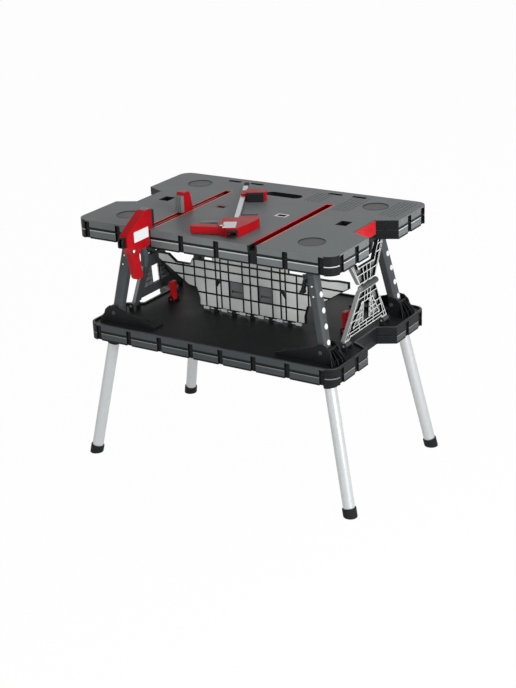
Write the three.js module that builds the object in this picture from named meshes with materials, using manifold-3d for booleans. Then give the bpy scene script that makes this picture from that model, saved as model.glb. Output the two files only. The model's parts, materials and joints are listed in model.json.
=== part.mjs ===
// Folding workbench: a ribbed plastic worktop over a ribbed plastic tray, held apart by two folding end
// panels, a folding long panel and four leaning struts, on four aluminium legs that fold under the tray.
// Two bar clamps belong to it: one stands in the worktop's left rail and one lies loose on the worktop.
// Millimetres, +Z up, X along the bench, -Y towards the user, Z = 0 on the floor.

import * as THREE from 'three';
import { mergeVertices } from 'three/addons/utils/BufferGeometryUtils.js';
import Module from 'manifold-3d';

const wasm = await Module();
wasm.setup();

// Driving dimensions
const GAP = 0.3;
const ARC_STEPS = 3;
const ROUND_SIDES = 12;
const TUBE_SIDES = 20;
const PIN_SIDES = 8;

const WORKTOP = {
  length: 850, width: 550, top: 755, height: 54, plate: 8, wall: 7, corner: 34, upperBand: 25,
  notchDepth: 57,
};
const TRAY = {
  length: 835, width: 546, top: 437, height: 50, plate: 3.5, wall: 7, corner: 34, upperBand: 24,
  notchDepth: 50, floorBelowRim: 5,
};
const NOTCH = { mouth: 87, back: 60 };
const BAND_GROOVE = { height: 3, depth: 4 };
const SKIRT_SLOT = { width: 12, depth: 5, pitch: 109, fromCorner: 6, endPitch: 82 };
const RIB = { thickness: 3, depth: 16, pitch: 62, fieldLength: 300, fieldWidth: 260 };

const RAIL = { x: 175, width: 30, depth: 18, wall: 5, base: 2.5, rearEnd: 147, mouth: 24 };
const END_GRIP = { thickness: 5, height: 40, teeth: 14, toothDepth: 2 };
const DISC = { x: 304, y: 180, radius: 38, depth: 1 };
const HANDLE_SLOT = { length: 124, width: 38, y: 174, collar: 4, collarDepth: 12 };
const REAR_SLOT = { length: 48, width: 14, y: 243, x: [137, 217] };
const LATCH_HOLE = { lengthX: 34, lengthY: 41 };
const SOCKET = { x: 103, y: -5, lengthX: 26, lengthY: 16, flange: 6, flangeDepth: 1.2, wall: 2.5,
  depth: 14 };

const PANEL = {
  hingeInset: 60, hingeClearance: 16, thickness: 12, web: 4, face: 0.5, kneeOut: 8.7,
  waist: 46, foot: 124, footWidth: 26, kneeRadius: 9, footRadius: 7, kneePin: 3.5, footPin: 3.5,
  rib: 3, knuckleGap: 0.5, endClear: 2, earThickness: 6,
};
const LONG_PANEL = {
  y: -22, pinHeight: 8, thickness: 12, pinRadius: 2.5, knuckleRadius: 5.5, knuckle: 20, foot: 183,
  topHeight: 150, neckReach: 327, earWidth: 12,
};

const LEG = {
  beyondTray: 27.5, insideTray: 20, leanX: 0.205, leanY: 0.1, radius: 17, bore: 15.2, footRadius: 20.2,
  footHeight: 26, footSole: 5, hingeBelowFloor: 20.8, barrelRadius: 18, barrelHalf: 15, collarStart: 13.5,
  collarEnd: 48, collarRadius: 19.2, tubeStart: 20, pin: 5, lug: 5, lugRadius: 9.5, foldedIn: 190,
  foldedOut: 240,
};
const STRUT = {
  pivotHeight: 31, across: 32, cornerCut: 7, start: 6, topClear: 18, pin: 6, barrelRadius: 15,
  barrelHalf: 15.4,
  holeRadius: 6.5, holeDepth: 4, holePitch: 44.3, holeFirst: 20, holes: 4, padSide: 36,
};
const SHOE = {
  cheek: 6, side: 4.5, tip: 143, back: 45, topAbovePivot: 22, base: 14, innerStart: 9, wall: 5, wallGap: 5,
  fin: 2.5, finReach: 12, finHeight: 36, fins: 5, finSpread: 20,
};
const STRUT_LATCH = {
  along: 205, standOff: 6.5, length: 46, tilt: 24, width: 14, thickness: 7, knob: 6, ear: 4, eye: 4.5,
  pin: 2.5, earReach: 11,
};
const CLOSING_LATCH = {
  fromHinge: 65, pivotAboveFloor: 9, height: 64, width: 22, thickness: 14, ear: 5, pin: 4, hook: 3,
  head: 12, root: 7,
};

const CLAMP = {
  barWidth: 7, barHeight: 14, barFront: -50, barRear: 390, slide: 0.3, thickness: 26, tongue: 18,
  gripThickness: 20,
  jawDepth: 42, jawHeight: 60, jawLift: 0.4, padThickness: 12, padHeight: 48, armReach: 14, armTop: 68,
  triggerThickness: 14, triggerEye: 8, releaseThickness: 18, releaseDepth: 14,
};
const MOUNTED_CLAMP = { jawAt: 170, fromEdge: 0.3 };
const LOOSE_CLAMP = { x: 41, y: -147, turn: 28.2, jawAt: 244 };

// Colours
const DARK_GREY = 0x4d5153;
const BLACK = 0x1d1f20;
const LIGHT_GREY = 0x9a9c9c;
const RED = 0xc8141c;
const ALUMINIUM = 0xd9dadb;
const STEEL = 0xb9bcbe;
const MID_GREY = 0x6d7173;

const plastic = (color) => new THREE.MeshStandardMaterial({ color, roughness: 0.55, metalness: 0 });
const metal = (color) => new THREE.MeshStandardMaterial({ color, roughness: 0.35, metalness: 1 });

// Levels that follow from the driving dimensions
const WORKTOP_UNDERSIDE = WORKTOP.top - WORKTOP.plate;
const TRAY_FLOOR = TRAY.top - TRAY.floorBelowRim;
const TRAY_UNDERSIDE = TRAY_FLOOR - TRAY.plate;
const HINGE_X = WORKTOP.length / 2 - PANEL.hingeInset;
const LATCH_X = HINGE_X - CLOSING_LATCH.fromHinge;
const FOOT_X = TRAY.length / 2 + LEG.beyondTray;
const FOOT_Y = TRAY.width / 2 - LEG.insideTray;
const LOWER_HINGE_Z = TRAY_FLOOR + PANEL.hingeClearance - 1;
const UPPER_HINGE_Z = WORKTOP_UNDERSIDE - PANEL.hingeClearance;
const HALF_RISE = (UPPER_HINGE_Z - LOWER_HINGE_Z) / 2;
const HALF_LENGTH = Math.hypot(HALF_RISE, PANEL.kneeOut);
const PANEL_TILT = Math.atan2(PANEL.kneeOut, HALF_RISE);
const CLAMP_FRONT = 119;
const BENCH_Y = (WORKTOP.width / 2 + MOUNTED_CLAMP.fromEdge + CLAMP_FRONT - WORKTOP.width / 2) / 2;

// Solid helpers: three.js makes every shape and the boolean library joins and cuts them
function solid(geometry) {
  const bare = geometry.clone();
  bare.deleteAttribute('normal');
  bare.deleteAttribute('uv');
  const merged = mergeVertices(bare, 1e-4);
  const vertProperties = new Float32Array(merged.attributes.position.array);
  const triVerts = new Uint32Array(merged.index.array);
  return new wasm.Manifold(new wasm.Mesh({ numProp: 3, vertProperties, triVerts }));
}

function geometryOf(body) {
  const { vertProperties, triVerts } = body.getMesh();
  const geometry = new THREE.BufferGeometry();
  geometry.setAttribute('position', new THREE.BufferAttribute(new Float32Array(vertProperties), 3));
  geometry.setIndex(new THREE.BufferAttribute(new Uint32Array(triVerts), 1));
  geometry.computeVertexNormals();
  return geometry;
}

const join = (...bodies) => bodies.reduce((sum, body) => sum.add(body));
const cut = (body, ...tools) => tools.reduce((rest, tool) => rest.subtract(tool), body);

function moved(body, matrix) {
  return solid(geometryOf(body).applyMatrix4(matrix));
}

// Extrudes a shape along a main axis; its coordinates are (Y, Z) for x, (X, Z) for y and (X, Y) for z
function extrude(axis, shape, from, to) {
  const settings = { depth: to - from, bevelEnabled: false, curveSegments: ARC_STEPS };
  const geometry = new THREE.ExtrudeGeometry(shape, settings);
  const matrix = new THREE.Matrix4().makeTranslation(0, 0, from);
  if (axis === 'x') matrix.set(0, 0, 1, from, 1, 0, 0, 0, 0, 1, 0, 0, 0, 0, 0, 1);
  if (axis === 'y') matrix.set(1, 0, 0, 0, 0, 0, -1, to, 0, 1, 0, 0, 0, 0, 0, 1);
  return solid(geometry.applyMatrix4(matrix));
}

function block(x, y, z) {
  const geometry = new THREE.BoxGeometry(x[1] - x[0], y[1] - y[0], z[1] - z[0]);
  geometry.translate((x[0] + x[1]) / 2, (y[0] + y[1]) / 2, (z[0] + z[1]) / 2);
  return solid(geometry);
}

// A round bar along a main axis, from one coordinate to another, at (a, b) of the other two axes
function rod(axis, radius, from, to, a, b, sides = ROUND_SIDES) {
  const geometry = new THREE.CylinderGeometry(radius, radius, to - from, sides);
  geometry.translate(0, (from + to) / 2, 0);
  if (axis === 'x') geometry.rotateZ(-Math.PI / 2).translate(0, a, b);
  if (axis === 'y') geometry.translate(a, 0, b);
  if (axis === 'z') geometry.rotateX(Math.PI / 2).translate(a, b, 0);
  return solid(geometry);
}

// A hole for a round pin: its flats, not its corners, keep the running gap
function bore(axis, pin, from, to, a, b, sides = PIN_SIDES) {
  return rod(axis, (pin + GAP) / Math.cos(Math.PI / sides), from, to, a, b, sides);
}

const polygon = (points) => new THREE.Shape(points.map(([x, y]) => new THREE.Vector2(x, y)));

function stadium(length, width, x, y) {
  const shape = new THREE.Shape();
  const half = length / 2 - width / 2;
  shape.absarc(x + half, y, width / 2, -Math.PI / 2, Math.PI / 2, false);
  shape.absarc(x - half, y, width / 2, Math.PI / 2, 1.5 * Math.PI, false);
  return shape;
}

// A piece modelled at the front right corner, taken to another corner by mirroring
function mirrored(body, sideX, sideY) {
  const geometry = geometryOf(body);
  geometry.applyMatrix4(new THREE.Matrix4().makeScale(sideX, -sideY, 1));
  if (sideX * sideY > 0) {
    const index = geometry.index.array;
    for (let i = 0; i < index.length; i += 3) {
      [index[i], index[i + 1]] = [index[i + 1], index[i]];
    }
  }
  return geometry;
}

const workbench = new THREE.Group();
const bench = new THREE.Group();
bench.position.y = BENCH_Y;
workbench.add(bench);

function piece(name, geometry, material, parent = bench) {
  const mesh = new THREE.Mesh(geometry, material);
  mesh.name = name;
  mesh.geometry.computeVertexNormals();
  parent.add(mesh);
  return mesh;
}

const CORNERS = [
  ['front_left', -1, -1],
  ['front_right', 1, -1],
  ['rear_left', -1, 1],
  ['rear_right', 1, 1],
];
const ENDS = [['left', -1], ['right', 1]];

// Worktop and tray: a plate with a ribbed skirt in two bands, notched in the middle of both short ends
function slabOutline(slab, inset) {
  const shape = new THREE.Shape();
  const x = slab.length / 2 - inset;
  const y = slab.width / 2 - inset;
  const r = Math.max(slab.corner - inset, 1);
  const back = slab.length / 2 - slab.notchDepth - inset;
  const mouth = NOTCH.mouth + inset;
  const root = NOTCH.back + inset;
  shape.moveTo(r - x, -y);
  shape.lineTo(x - r, -y);
  shape.absarc(x - r, r - y, r, -Math.PI / 2, 0, false);
  shape.lineTo(x, -mouth);
  shape.lineTo(back, -root);
  shape.lineTo(back, root);
  shape.lineTo(x, mouth);
  shape.absarc(x - r, y - r, r, 0, Math.PI / 2, false);
  shape.lineTo(r - x, y);
  shape.absarc(r - x, y - r, r, Math.PI / 2, Math.PI, false);
  shape.lineTo(-x, mouth);
  shape.lineTo(-back, root);
  shape.lineTo(-back, -root);
  shape.lineTo(-x, -mouth);
  shape.absarc(r - x, r - y, r, Math.PI, 1.5 * Math.PI, false);
  return shape;
}

function skirtRing(slab, outer, inner, from, to) {
  const hole = extrude('z', slabOutline(slab, inner), from - 1, to + 1);
  return cut(extrude('z', slabOutline(slab, outer), from, to), hole);
}

// Upright slots in the skirt, stepped inwards from the corners on all four sides
function skirtSlots(slab, from, to, skipFront) {
  const tools = [];
  const half = SKIRT_SLOT.width / 2;
  const x = slab.length / 2;
  const y = slab.width / 2;
  const deep = SKIRT_SLOT.depth;
  for (let at = x - slab.corner - SKIRT_SLOT.fromCorner; at > 0; at -= SKIRT_SLOT.pitch) {
    for (const side of [-1, 1]) {
      const across = [side * at - half, side * at + half];
      if (!skipFront(side * at)) tools.push(block(across, [-y - 1, deep - y], [from, to]));
      tools.push(block(across, [y - deep, y + 1], [from, to]));
    }
  }
  const first = y - slab.corner - SKIRT_SLOT.fromCorner;
  for (let at = first; at > NOTCH.mouth + SKIRT_SLOT.width; at -= SKIRT_SLOT.endPitch) {
    for (const side of [-1, 1]) {
      const across = [side * at - half, side * at + half];
      tools.push(block([x - deep, x + 1], across, [from, to]));
      tools.push(block([-x - 1, deep - x], across, [from, to]));
    }
  }
  return tools;
}

// Crossed stiffening ribs under the middle of a plate
function ribField(underside) {
  const low = underside - RIB.depth;
  const half = RIB.thickness / 2;
  const x = RIB.fieldLength / 2;
  const y = RIB.fieldWidth / 2;
  const ribs = [];
  for (let at = -Math.floor(x / RIB.pitch) * RIB.pitch; at <= x; at += RIB.pitch) {
    ribs.push(block([at - half, at + half], [-y, y], [low, underside + 1]));
  }
  for (let at = -Math.floor(y / RIB.pitch) * RIB.pitch; at <= y; at += RIB.pitch) {
    ribs.push(block([-x, x], [at - half, at + half], [low, underside + 1]));
  }
  return join(...ribs);
}

// Ears that carry the stub axles of an end panel's two feet, standing off a plate
function panelEars(hingeZ, plateZ) {
  const r = PANEL.footRadius;
  const inner = PANEL.foot - PANEL.footWidth - PANEL.knuckleGap;
  const outer = PANEL.foot + PANEL.knuckleGap;
  const ears = [];
  for (const end of [-1, 1]) {
    for (const side of [-1, 1]) {
      for (const [from, to] of [[inner - PANEL.earThickness, inner], [outer, outer + PANEL.earThickness]]) {
        const y = side > 0 ? [from, to] : [-to, -from];
        const z = hingeZ < plateZ ? [hingeZ, plateZ + 1] : [plateZ - 1, hingeZ];
        const plate = block([end * HINGE_X - r, end * HINGE_X + r], y, z);
        const ear = join(plate, rod('y', r, y[0], y[1], end * HINGE_X, hingeZ));
        const hole = bore('y', PANEL.footPin, y[0] - 1, y[1] + 1, end * HINGE_X, hingeZ);
        ears.push(cut(ear, hole));
      }
    }
  }
  return ears;
}

const nearRail = (x) => Math.abs(Math.abs(x) - RAIL.x) < RAIL.width;

function railMouths(depth, from, to) {
  const half = RAIL.mouth / 2;
  const front = -WORKTOP.width / 2;
  return [-RAIL.x, RAIL.x].map((x) => block([x - half, x + half], [front - 1, front + depth], [from, to]));
}

const stepX = (z) => FOOT_X - LEG.leanX * z;
const stepY = (z) => FOOT_Y - LEG.leanY * z;
const STRUT_PIVOT_Z = TRAY_FLOOR + STRUT.pivotHeight;
const STRUT_TOP_Z = WORKTOP_UNDERSIDE - STRUT.topClear / 2 - GAP;

function worktopDeck() {
  const { top, wall } = WORKTOP;
  const under = WORKTOP_UNDERSIDE;
  const bandBottom = top - WORKTOP.upperBand;
  let deck = join(extrude('z', slabOutline(WORKTOP, 0), under, top),
    skirtRing(WORKTOP, 0, wall, bandBottom, under + 1));
  deck = cut(deck, ...skirtSlots(WORKTOP, bandBottom - 1, under, nearRail));

  const collarShape = stadium(HANDLE_SLOT.length + 2 * HANDLE_SLOT.collar,
    HANDLE_SLOT.width + 2 * HANDLE_SLOT.collar, 0,
    HANDLE_SLOT.y);
  deck = join(deck, ribField(under), extrude('z', collarShape, under - HANDLE_SLOT.collarDepth, under + 1));
  deck = join(deck, ...panelEars(UPPER_HINGE_Z, under));
  const padHalf = STRUT.padSide / 2;
  for (const [, sideX, sideY] of CORNERS) {
    const x = sideX * stepX(STRUT_TOP_Z);
    const y = sideY * stepY(STRUT_TOP_Z);
    const bottom = STRUT_TOP_Z + GAP;
    deck = join(deck, block([x - padHalf, x + padHalf], [y - padHalf, y + padHalf], [bottom, under + 1]));
  }

  const tools = [extrude('z', stadium(HANDLE_SLOT.length, HANDLE_SLOT.width, 0, HANDLE_SLOT.y),
    under - 40, top + 1)];
  for (const [, side] of ENDS) {
    for (const x of REAR_SLOT.x) {
      tools.push(extrude('z', stadium(REAR_SLOT.length, REAR_SLOT.width, side * x, REAR_SLOT.y),
        under - 1, top + 1));
    }
    const holeX = LATCH_HOLE.lengthX / 2;
    const holeY = LATCH_HOLE.lengthY / 2;
    const latchX = side * LATCH_X;
    tools.push(block([latchX - holeX, latchX + holeX], [-holeY, holeY], [under - 1, top + 1]));
    const railHalf = RAIL.width / 2 + GAP;
    const railFront = -WORKTOP.width / 2 - 1;
    const railX = side * RAIL.x;
    tools.push(block([railX - railHalf, railX + railHalf], [railFront, RAIL.rearEnd + GAP],
      [top - RAIL.depth - GAP, top + 1]));
    const socketX = side * SOCKET.x;
    const sx = SOCKET.lengthX / 2 + SOCKET.wall + GAP;
    const sy = SOCKET.lengthY / 2 + SOCKET.wall + GAP;
    tools.push(block([socketX - sx, socketX + sx], [SOCKET.y - sy, SOCKET.y + sy],
      [top - SOCKET.depth - 20, top + 1]));
    const fx = SOCKET.lengthX / 2 + SOCKET.flange + GAP;
    const fy = SOCKET.lengthY / 2 + SOCKET.flange + GAP;
    const flangeBottom = top - SOCKET.flangeDepth - GAP;
    tools.push(block([socketX - fx, socketX + fx], [SOCKET.y - fy, SOCKET.y + fy],
      [flangeBottom, top + 1]));
    const gripBack = side * (WORKTOP.length / 2 - WORKTOP.notchDepth);
    const gripX = [gripBack - side * (END_GRIP.thickness + GAP), gripBack + side].sort((a, b) => a - b);
    tools.push(block(gripX, [-NOTCH.back - 1, NOTCH.back + 1], [bandBottom - 1, top + 1]));
    for (const front of [-1, 1]) {
      tools.push(rod('z', DISC.radius, top - DISC.depth, top + 1, side * DISC.x, front * DISC.y,
        TUBE_SIDES));
    }
  }
  return cut(deck, ...tools, ...railMouths(wall + 1, bandBottom - 1, top + 1));
}

function lowerFrame(slab, skipFront) {
  const bottom = slab.top - slab.height;
  const bandTop = slab.top - slab.upperBand - BAND_GROOVE.height;
  const lip = slab.top - slab.upperBand - GAP;
  const ring = skirtRing(slab, 0, slab.wall, bottom, bandTop);
  const tongue = skirtRing(slab, BAND_GROOVE.depth, slab.wall, bandTop - 1, lip);
  return cut(join(ring, tongue), ...skirtSlots(slab, bottom - 1, bandTop, skipFront));
}

function worktopFrame() {
  const bottom = WORKTOP.top - WORKTOP.height;
  const tools = railMouths(SKIRT_SLOT.depth, bottom - 1, WORKTOP.top);
  for (const [, side] of ENDS) {
    const back = side * (WORKTOP.length / 2 - WORKTOP.notchDepth);
    const x = [back - side * (END_GRIP.thickness + GAP), back + side].sort((a, b) => a - b);
    tools.push(block(x, [-NOTCH.back - 1, NOTCH.back + 1],
      [WORKTOP.top - END_GRIP.height - GAP, WORKTOP.top]));
  }
  return cut(lowerFrame(WORKTOP, nearRail), ...tools);
}

piece('worktop_deck', geometryOf(worktopDeck()), plastic(DARK_GREY));
piece('worktop_frame', geometryOf(worktopFrame()), plastic(DARK_GREY));

// Red clamp rails: open channels let into the worktop, closed at the rear
function clampRail(x) {
  const half = RAIL.width / 2;
  const bottom = WORKTOP.top - RAIL.depth;
  const front = -WORKTOP.width / 2;
  const body = block([x - half, x + half], [front, RAIL.rearEnd], [bottom, WORKTOP.top]);
  const inner = [x - half + RAIL.wall, x + half - RAIL.wall];
  return cut(body, block(inner, [front - 1, RAIL.rearEnd - RAIL.wall],
    [bottom + RAIL.base, WORKTOP.top + 1]));
}

// Red serrated faces that line the backs of the worktop's end notches
function endGrip(side) {
  const back = WORKTOP.length / 2 - WORKTOP.notchDepth;
  const half = NOTCH.back - GAP;
  const pitch = (2 * half) / END_GRIP.teeth;
  const points = [[back - END_GRIP.thickness, -half], [back, -half]];
  for (let tooth = 0; tooth < END_GRIP.teeth; tooth += 1) {
    points.push([back - END_GRIP.toothDepth, -half + (tooth + 0.5) * pitch]);
    points.push([back, -half + (tooth + 1) * pitch]);
  }
  points.push([back - END_GRIP.thickness, half]);
  const outline = side > 0 ? points : points.map(([x, y]) => [-x, y]).reverse();
  return extrude('z', polygon(outline), WORKTOP.top - END_GRIP.height, WORKTOP.top);
}

// Small rectangular sockets beside the rails, each with a flange let into the worktop
function benchSocket(x) {
  const hx = SOCKET.lengthX / 2;
  const hy = SOCKET.lengthY / 2;
  const around = (grow, from, to) => block([x - hx - grow, x + hx + grow],
    [SOCKET.y - hy - grow, SOCKET.y + hy + grow],
    [from, to]);
  const top = WORKTOP.top;
  const body = join(around(SOCKET.flange, top - SOCKET.flangeDepth, top),
    around(SOCKET.wall, top - SOCKET.depth, top));
  return cut(body, around(0, top - SOCKET.depth - 1, top + 1));
}

for (const [end, side] of ENDS) {
  piece(`clamp_rail_${end}`, geometryOf(clampRail(side * RAIL.x)), plastic(RED));
  piece(`end_grip_${end}`, geometryOf(endGrip(side)), plastic(RED));
  piece(`bench_socket_${end}`, geometryOf(benchSocket(side * SOCKET.x)), plastic(RED));
}

// Folding legs: each turns on a slanted hinge under the tray, so that left and right legs pass side by side
const LEG_PIVOT_Z = TRAY_UNDERSIDE - LEG.hingeBelowFloor;
const LEG_PIVOT = new THREE.Vector3(stepX(LEG_PIVOT_Z), -stepY(LEG_PIVOT_Z), LEG_PIVOT_Z);
const LEG_DOWN = new THREE.Vector3(LEG.leanX, -LEG.leanY, -1).normalize();
const LEG_LENGTH = LEG_PIVOT_Z / -LEG_DOWN.z;

// The hinge axis of the front right leg, square to the leg as it stands and as it lies folded
function legAxis(foldedY) {
  const rise = (LEG_PIVOT.y + foldedY) / LEG_LENGTH;
  const folded = new THREE.Vector3(-Math.sqrt(1 - rise * rise), -rise, 0);
  return new THREE.Vector3().crossVectors(LEG_DOWN, folded).normalize();
}

// Local frame of the front right leg: Y along the hinge, Z up the leg
function legFrame(foldedY) {
  const up = LEG_DOWN.clone().negate();
  const axis = legAxis(foldedY);
  const across = new THREE.Vector3().crossVectors(axis, up);
  return new THREE.Matrix4().makeBasis(across, axis, up).setPosition(LEG_PIVOT);
}

const foldedYOf = (sideX, sideY) => (sideX * sideY < 0 ? LEG.foldedIn : LEG.foldedOut);

function legLugs(foldedY) {
  const from = LEG.barrelHalf + GAP;
  const lugs = [];
  for (const y of [[from, from + LEG.lug], [-from - LEG.lug, -from]]) {
    const arm = block([-LEG.lugRadius, LEG.lugRadius], y, [0, LEG.hingeBelowFloor + 8]);
    const lug = join(arm, rod('y', LEG.lugRadius, y[0], y[1], 0, 0));
    lugs.push(cut(lug, bore('y', LEG.pin, y[0] - 1, y[1] + 1, 0, 0)));
  }
  const below = block([0, TRAY.length], [-TRAY.width, 0], [0, TRAY_UNDERSIDE + 1]);
  return lugs.map((lug) => moved(lug, legFrame(foldedY)).intersect(below));
}

function legHinge(foldedY) {
  const pinEnd = LEG.barrelHalf + GAP + LEG.lug;
  const body = join(
    rod('y', LEG.barrelRadius, -LEG.barrelHalf, LEG.barrelHalf, 0, 0),
    rod('y', LEG.pin, -pinEnd, pinEnd, 0, 0, PIN_SIDES),
    rod('z', LEG.collarRadius, -LEG.collarEnd, -LEG.collarStart, 0, 0, TUBE_SIDES),
  );
  const socket = bore('z', LEG.radius, -LEG.collarEnd - 1, -LEG.tubeStart, 0, 0, TUBE_SIDES);
  return moved(cut(body, socket), legFrame(foldedY));
}

function legTube(foldedY) {
  const end = LEG_LENGTH - LEG.footSole - GAP;
  const tube = rod('z', LEG.radius, -end + LEG.footHeight / 2, -LEG.tubeStart - GAP, 0, 0, TUBE_SIDES);
  const bore = rod('z', LEG.bore, -LEG_LENGTH, 0, 0, 0, TUBE_SIDES);
  return moved(cut(tube, bore), legFrame(foldedY));
}

function legFoot(foldedY) {
  const end = LEG_LENGTH - LEG.footSole - GAP;
  const cap = rod('z', LEG.footRadius, -LEG_LENGTH - LEG.footSole, -LEG_LENGTH + LEG.footHeight, 0, 0,
    TUBE_SIDES);
  const socket = bore('z', LEG.radius, -end + LEG.footHeight / 2 - GAP, -LEG_LENGTH + LEG.footHeight + 1,
    0, 0,
    TUBE_SIDES);
  const aboveFloor = block([0, TRAY.length], [-TRAY.width, 0], [0, LEG_PIVOT_Z]);
  return moved(cut(cap, socket), legFrame(foldedY)).intersect(aboveFloor);
}

// Closing latches: red levers on the tray that reach up through the worktop's latch holes when it is folded
const LATCH_PIVOT_Z = TRAY_FLOOR + CLOSING_LATCH.pivotAboveFloor;

function latchEars(x) {
  const { width, ear, root, pin } = CLOSING_LATCH;
  return [-1, 1].map((side) => {
    const y = [side * (width / 2 + GAP), side * (width / 2 + GAP + ear)].sort((a, b) => a - b);
    const plate = block([x - root - 3, x + root + 3], y, [TRAY_FLOOR - 1, LATCH_PIVOT_Z]);
    const body = join(plate, rod('y', root + 3, y[0], y[1], x, LATCH_PIVOT_Z));
    return cut(body, bore('y', pin, y[0] - 1, y[1] + 1, x, LATCH_PIVOT_Z));
  });
}

function closingLatch(side) {
  const { width, thickness, height, hook, head, root, pin, ear } = CLOSING_LATCH;
  const half = thickness / 2;
  const top = TRAY_FLOOR + height;
  const profile = polygon([
    [-root, LATCH_PIVOT_Z],
    [root, LATCH_PIVOT_Z],
    [half - 3, top - head - 18],
    [half - 2, top - head],
    [half + hook, top - head],
    [half - 1, top],
    [1 - half, top],
    [-half, top - head],
    [2 - half, top - head - 18],
  ].map(([x, z]) => [x + LATCH_X, z]));
  const reach = width / 2 + GAP + ear;
  const body = join(
    extrude('y', profile, -width / 2, width / 2),
    rod('y', root, -width / 2, width / 2, LATCH_X, LATCH_PIVOT_Z),
    rod('y', pin, -reach, reach, LATCH_X, LATCH_PIVOT_Z, PIN_SIDES),
  );
  return mirrored(body, side, -1);
}

// Long panel: knuckled along its bottom edge, with ribs between grooves and a neck towards each knee
const LONG_PIN_Z = TRAY_FLOOR + LONG_PANEL.pinHeight;
const LONG_KNUCKLES = [-160, -96, -32, 32, 96, 160];
const LONG_EARS = [-128, -64, 0, 64, 128];

function longPanelEars() {
  const { y, knuckleRadius, earWidth, pinRadius } = LONG_PANEL;
  return LONG_EARS.map((x) => {
    const span = [x - earWidth / 2, x + earWidth / 2];
    const plate = block(span, [y - knuckleRadius, y + knuckleRadius], [TRAY_FLOOR - 1, LONG_PIN_Z]);
    const body = join(plate, rod('x', knuckleRadius, span[0], span[1], y, LONG_PIN_Z));
    return cut(body, bore('x', pinRadius, span[0] - 1, span[1] + 1, y, LONG_PIN_Z));
  });
}

function longPanel() {
  const { y, thickness, foot, topHeight, neckReach, knuckle, knuckleRadius, pinRadius } = LONG_PANEL;
  const base = LONG_PIN_Z;
  const bottom = knuckleRadius + 1;
  const side = (sign) => [
    [foot, bottom], [foot, 30], [foot + 9, 60], [foot + 38, 65], [neckReach - 20, 122], [neckReach, 134],
    [neckReach, topHeight + 3], [neckReach - 38, topHeight + 3],
  ].map(([x, z]) => [sign * x, z + base]);
  const dip = [[-262, topHeight - 18], [-212, topHeight - 18],
    [-203, topHeight]].map(([x, z]) => [x, z + base]);
  const outline = [...side(1), [262, topHeight + base], ...dip.reverse(), ...side(-1).reverse()];
  const back = y + thickness / 2;
  const front = y - thickness / 2;
  let panel = extrude('y', polygon(outline), front, back);

  const tools = [];
  for (const x of [-50.5, 50.5]) {
    tools.push(block([x - 24, x + 24], [front - 1, front + 5], [base + 49, base + 97]));
    tools.push(block([x - 18, x + 18], [front - 1, back + 1], [base + 62, base + 70]));
  }
  for (const sign of [-1, 1]) {
    const corner = [[103, base + 97], [120, base + 97], [120, base + 74]].map(([x, z]) => [sign * x, z]);
    tools.push(extrude('y', polygon(sign > 0 ? corner : corner.reverse()), front - 1, back + 1));
  }
  panel = cut(panel, ...tools);

  const half = knuckle / 2;
  for (const x of LONG_KNUCKLES) {
    const arm = block([x - half, x + half], [y - knuckleRadius, y + knuckleRadius],
      [base, base + bottom + 3]);
    const bored = join(arm, rod('x', knuckleRadius, x - half, x + half, y, base));
    panel = join(panel, bored);
  }
  return cut(panel, bore('x', pinRadius, -foot - 1, foot + 1, y, base));
}

function trayDeck() {
  const bandBottom = TRAY.top - TRAY.upperBand;
  const plate = extrude('z', slabOutline(TRAY, 1), TRAY_UNDERSIDE, TRAY_FLOOR);
  let deck = join(plate, skirtRing(TRAY, 0, TRAY.wall, bandBottom, TRAY.top));
  deck = cut(deck, ...skirtSlots(TRAY, bandBottom - 1, TRAY.top - TRAY.floorBelowRim - 1, () => false));
  deck = join(deck, ribField(TRAY_UNDERSIDE), ...panelEars(LOWER_HINGE_Z, TRAY_FLOOR), ...longPanelEars());
  for (const [, sideX, sideY] of CORNERS) {
    for (const lug of legLugs(foldedYOf(sideX, sideY))) {
      deck = join(deck, solid(mirrored(lug, sideX, sideY)));
    }
  }
  for (const [, side] of ENDS) {
    deck = join(deck, ...latchEars(side * LATCH_X));
  }
  return deck;
}

piece('tray_deck', geometryOf(trayDeck()), plastic(BLACK));
piece('tray_frame', geometryOf(lowerFrame(TRAY, () => false)), plastic(BLACK));
piece('long_panel', geometryOf(longPanel()), plastic(LIGHT_GREY));
const pinHalf = LONG_KNUCKLES.at(-1) + LONG_PANEL.knuckle / 2;
const longPin = rod('x', LONG_PANEL.pinRadius, -pinHalf, pinHalf, LONG_PANEL.y, LONG_PIN_Z, PIN_SIDES);
piece('long_panel_pin', geometryOf(longPin), metal(STEEL));
for (const [end, side] of ENDS) {
  piece(`closing_latch_${end}`, closingLatch(side), plastic(RED));
}
for (const [corner, sideX, sideY] of CORNERS) {
  const foldedY = foldedYOf(sideX, sideY);
  piece(`leg_hinge_${corner}`, mirrored(legHinge(foldedY), sideX, sideY), plastic(BLACK));
  piece(`leg_tube_${corner}`, mirrored(legTube(foldedY), sideX, sideY), metal(ALUMINIUM));
  piece(`leg_foot_${corner}`, mirrored(legFoot(foldedY), sideX, sideY), plastic(BLACK));
}

// End panels: two hourglass halves that meet in a knuckled knee and fold inwards, outer faces together.
// Modelled with the hinge at the origin, the knee up Z and the inner side towards -X.
function panelRib(from, to, thickness) {
  const length = Math.hypot(to[0] - from[0], to[1] - from[1]) + 2 * thickness;
  const geometry = new THREE.BoxGeometry(PANEL.thickness, length, thickness);
  geometry.rotateX(Math.atan2(to[1] - from[1], to[0] - from[0]));
  geometry.translate(-PANEL.face - PANEL.thickness / 2, (from[0] + to[0]) / 2, (from[1] + to[1]) / 2);
  return solid(geometry);
}

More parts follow.
